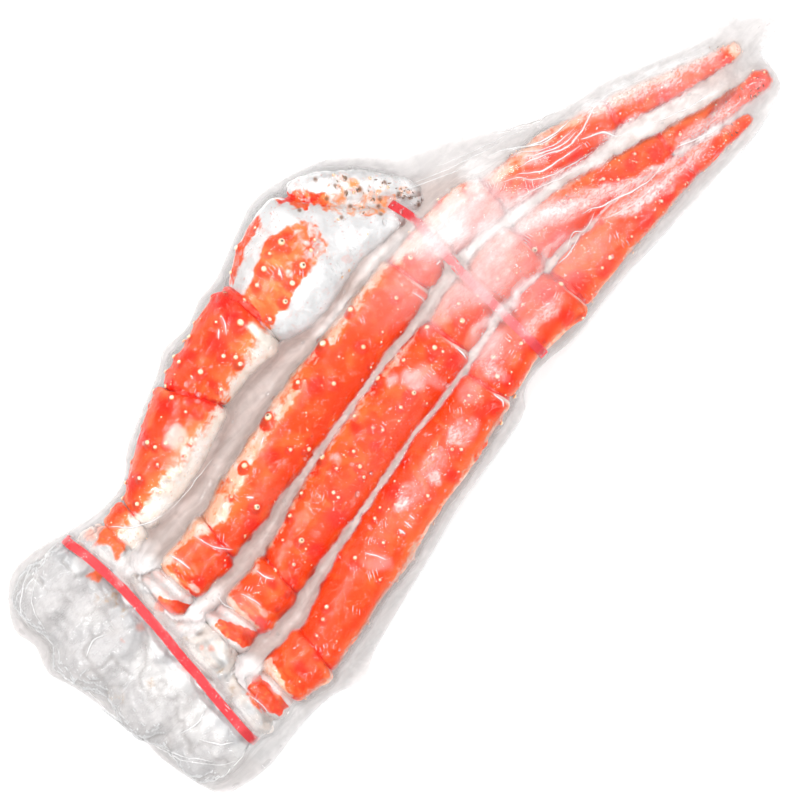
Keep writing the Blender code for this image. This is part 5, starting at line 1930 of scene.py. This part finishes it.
def make_lower_film(outline, tree):
    """The lower sheet: flat under the contents, and drawn up to the seam beside them."""
    ground = Ground(UNDER_STEP, outline)
    below = ground.cast(tree, downwards=False)
    seam = seam_height(ground, UNDER_EDGE, 5.4 * MM)
    ceiling = np.where(np.isnan(below), seam, np.minimum(below - LAID_UNDER, seam))
    ceiling = np.maximum(ceiling, FLAT_UNDER)
    fixed = ~ground.inside | (ground.from_edge < 0.8 * UNDER_STEP)
    ceiling[fixed] = seam[fixed]
    pull = 0.35 * (ground.step / MM) ** 2 / 4 * MM
    height = np.maximum(-stretch(-ceiling, pull, 150, fixed), 0.12 * MM)
    mesh, used = sheet_mesh("film_under", ground, height, outline, UNDER_EDGE)
    lifted = smooth(height, 0.4 * MM, 2.5 * MM)
    set_attribute(mesh, "haze_and_glare", (0.05 + 0.30 * lifted)[used])
    set_attribute(mesh, "grey_and_shade", np.full(used.sum(), 0.3))
    film_piece("film_under", mesh, "lower_film_look")


def joined_tree(pieces):
    """A tree of all the visible contents' faces, which the film is laid over."""
    graph = bpy.context.evaluated_depsgraph_get()
    points, faces = [], []
    for obj in pieces:
        shown = obj.evaluated_get(graph)
        mesh = shown.to_mesh()
        base = len(points)
        points += [tuple(v.co) for v in mesh.vertices]
        faces += [tuple(base + i for i in face.vertices) for face in mesh.polygons]
        shown.to_mesh_clear()
    return BVHTree.FromPolygons(points, faces)


# ---------------------------------------------------------------- stage
WORLD_SIDES, WORLD_OVERHEAD = 0.84, 0.50        # brightness of the white all round, and overhead
OVERHEAD_FROM, OVERHEAD_FULL = 0.45, 0.95       # between which heights the one turns into the other
FLOOR_REACH = 3.0
FLOOR_DROP = 0.3 * MM                           # how far the floor lies below the bag
CAMERA_XY = (-25.4 * MM, -17.7 * MM)
CAMERA_DISTANCE = 2.4
CAMERA_TURN = -45                               # degrees, so that the limbs run up to the right
VIEW_WIDTH = 0.400                              # what the camera sees at the subject's height
SUBJECT_HEIGHT = 0.015
SENSOR_WIDTH = 36.0
SOFTBOX_SIZE = 0.30

# The softboxes: (name, place, power).
LIGHTS = (
    ("softbox_left", (-0.50, 0.55, 1.25), 8.0),
    ("softbox_right", (0.60, -0.50, 1.25), 5.4),
    ("softbox_top", (0.50, 0.65, 1.25), 6.2),
    ("softbox_near", (-0.55, -0.60, 1.25), 5.4),
)


def area_light(name, place, power):
    """A square softbox that faces the middle of the row frame."""
    light = bpy.data.lights.new(name, "AREA")
    light.shape = "SQUARE"
    light.size = SOFTBOX_SIZE
    light.energy = power
    obj = linked(name, light)
    obj.location = place
    obj.rotation_euler = (-Vector(place)).to_track_quat("-Z", "Y").to_euler()


def make_world():
    """White all round, and darker overhead where the camera hangs."""
    world = bpy.data.worlds.new("studio")
    world.use_nodes = True
    tree = world.node_tree
    background = tree.nodes["Background"]
    background.inputs["Color"].default_value = (1.0, 1.0, 1.0, 1.0)
    place = tree.nodes.new("ShaderNodeTexCoord")
    split = tree.nodes.new("ShaderNodeSeparateXYZ")
    ramp = tree.nodes.new("ShaderNodeMapRange")
    levels = (OVERHEAD_FROM, OVERHEAD_FULL, WORLD_SIDES, WORLD_OVERHEAD)
    for socket, number in zip(ramp.inputs[1:5], levels):
        socket.default_value = number
    tree.links.new(place.outputs["Generated"], split.inputs[0])
    tree.links.new(split.outputs["Z"], ramp.inputs[0])
    tree.links.new(ramp.outputs[0], background.inputs["Strength"])
    bpy.context.scene.world = world


def make_stage():
    """A pale floor just under the bag, soft light from four sides and a white world."""
    corners = [(x * FLOOR_REACH, y * FLOOR_REACH, 0) for x, y in ((-1, -1), (1, -1), (1, 1), (-1, 1))]
    floor = mesh_from("floor", corners, [(0, 1, 2, 3)])
    obj = linked("floor", floor)
    obj.location.z = -FLOOR_DROP
    look = bpy.data.materials.new("floor_look")
    look.use_nodes = True
    shader = look.node_tree.nodes["Principled BSDF"]
    shader.inputs["Base Color"].default_value = (0.97, 0.97, 0.97, 1.0)
    shader.inputs["Roughness"].default_value = 0.9
    shader.inputs["Specular IOR Level"].default_value = 0.0
    floor.materials.append(look)
    make_world()
    for light in LIGHTS:
        area_light(*light)
    bpy.context.scene.view_settings.view_transform = "Standard"


def make_camera():
    """Straight above, a long way off, turned so that the limbs run up to the right."""
    data = bpy.data.cameras.new("camera")
    data.sensor_width = SENSOR_WIDTH
    data.lens = SENSOR_WIDTH * CAMERA_DISTANCE / VIEW_WIDTH
    data.clip_end = 20.0
    obj = linked("camera", data)
    obj.location = (*CAMERA_XY, CAMERA_DISTANCE + SUBJECT_HEIGHT)
    obj.rotation_euler = (0.0, 0.0, math.radians(CAMERA_TURN))
    bpy.context.scene.camera = obj


# ---------------------------------------------------------------- the scene
make_stage()
make_camera()
SPINES = Spines()
LININGS = Linings()
JOINT_SKIN = membrane_material()
contents = []
for number, leg_name in enumerate(LEGS):
    contents += make_leg(leg_name, SPINES, LININGS, JOINT_SKIN, 11 + number * 20)
contents += make_claw_arm(SPINES, LININGS)
contents += make_palm(SPINES)
contents += make_finger(SPINES)
contents += make_claw_mouth()
contents += make_shoulder()
contents += make_bands()
contents.append(SPINES.make())
contents.append(LININGS.make())
CONTENTS_TREE = joined_tree(contents)
OUTLINE = bag_outline()
make_upper_film(OUTLINE, CONTENTS_TREE)
make_lower_film(OUTLINE, CONTENTS_TREE)
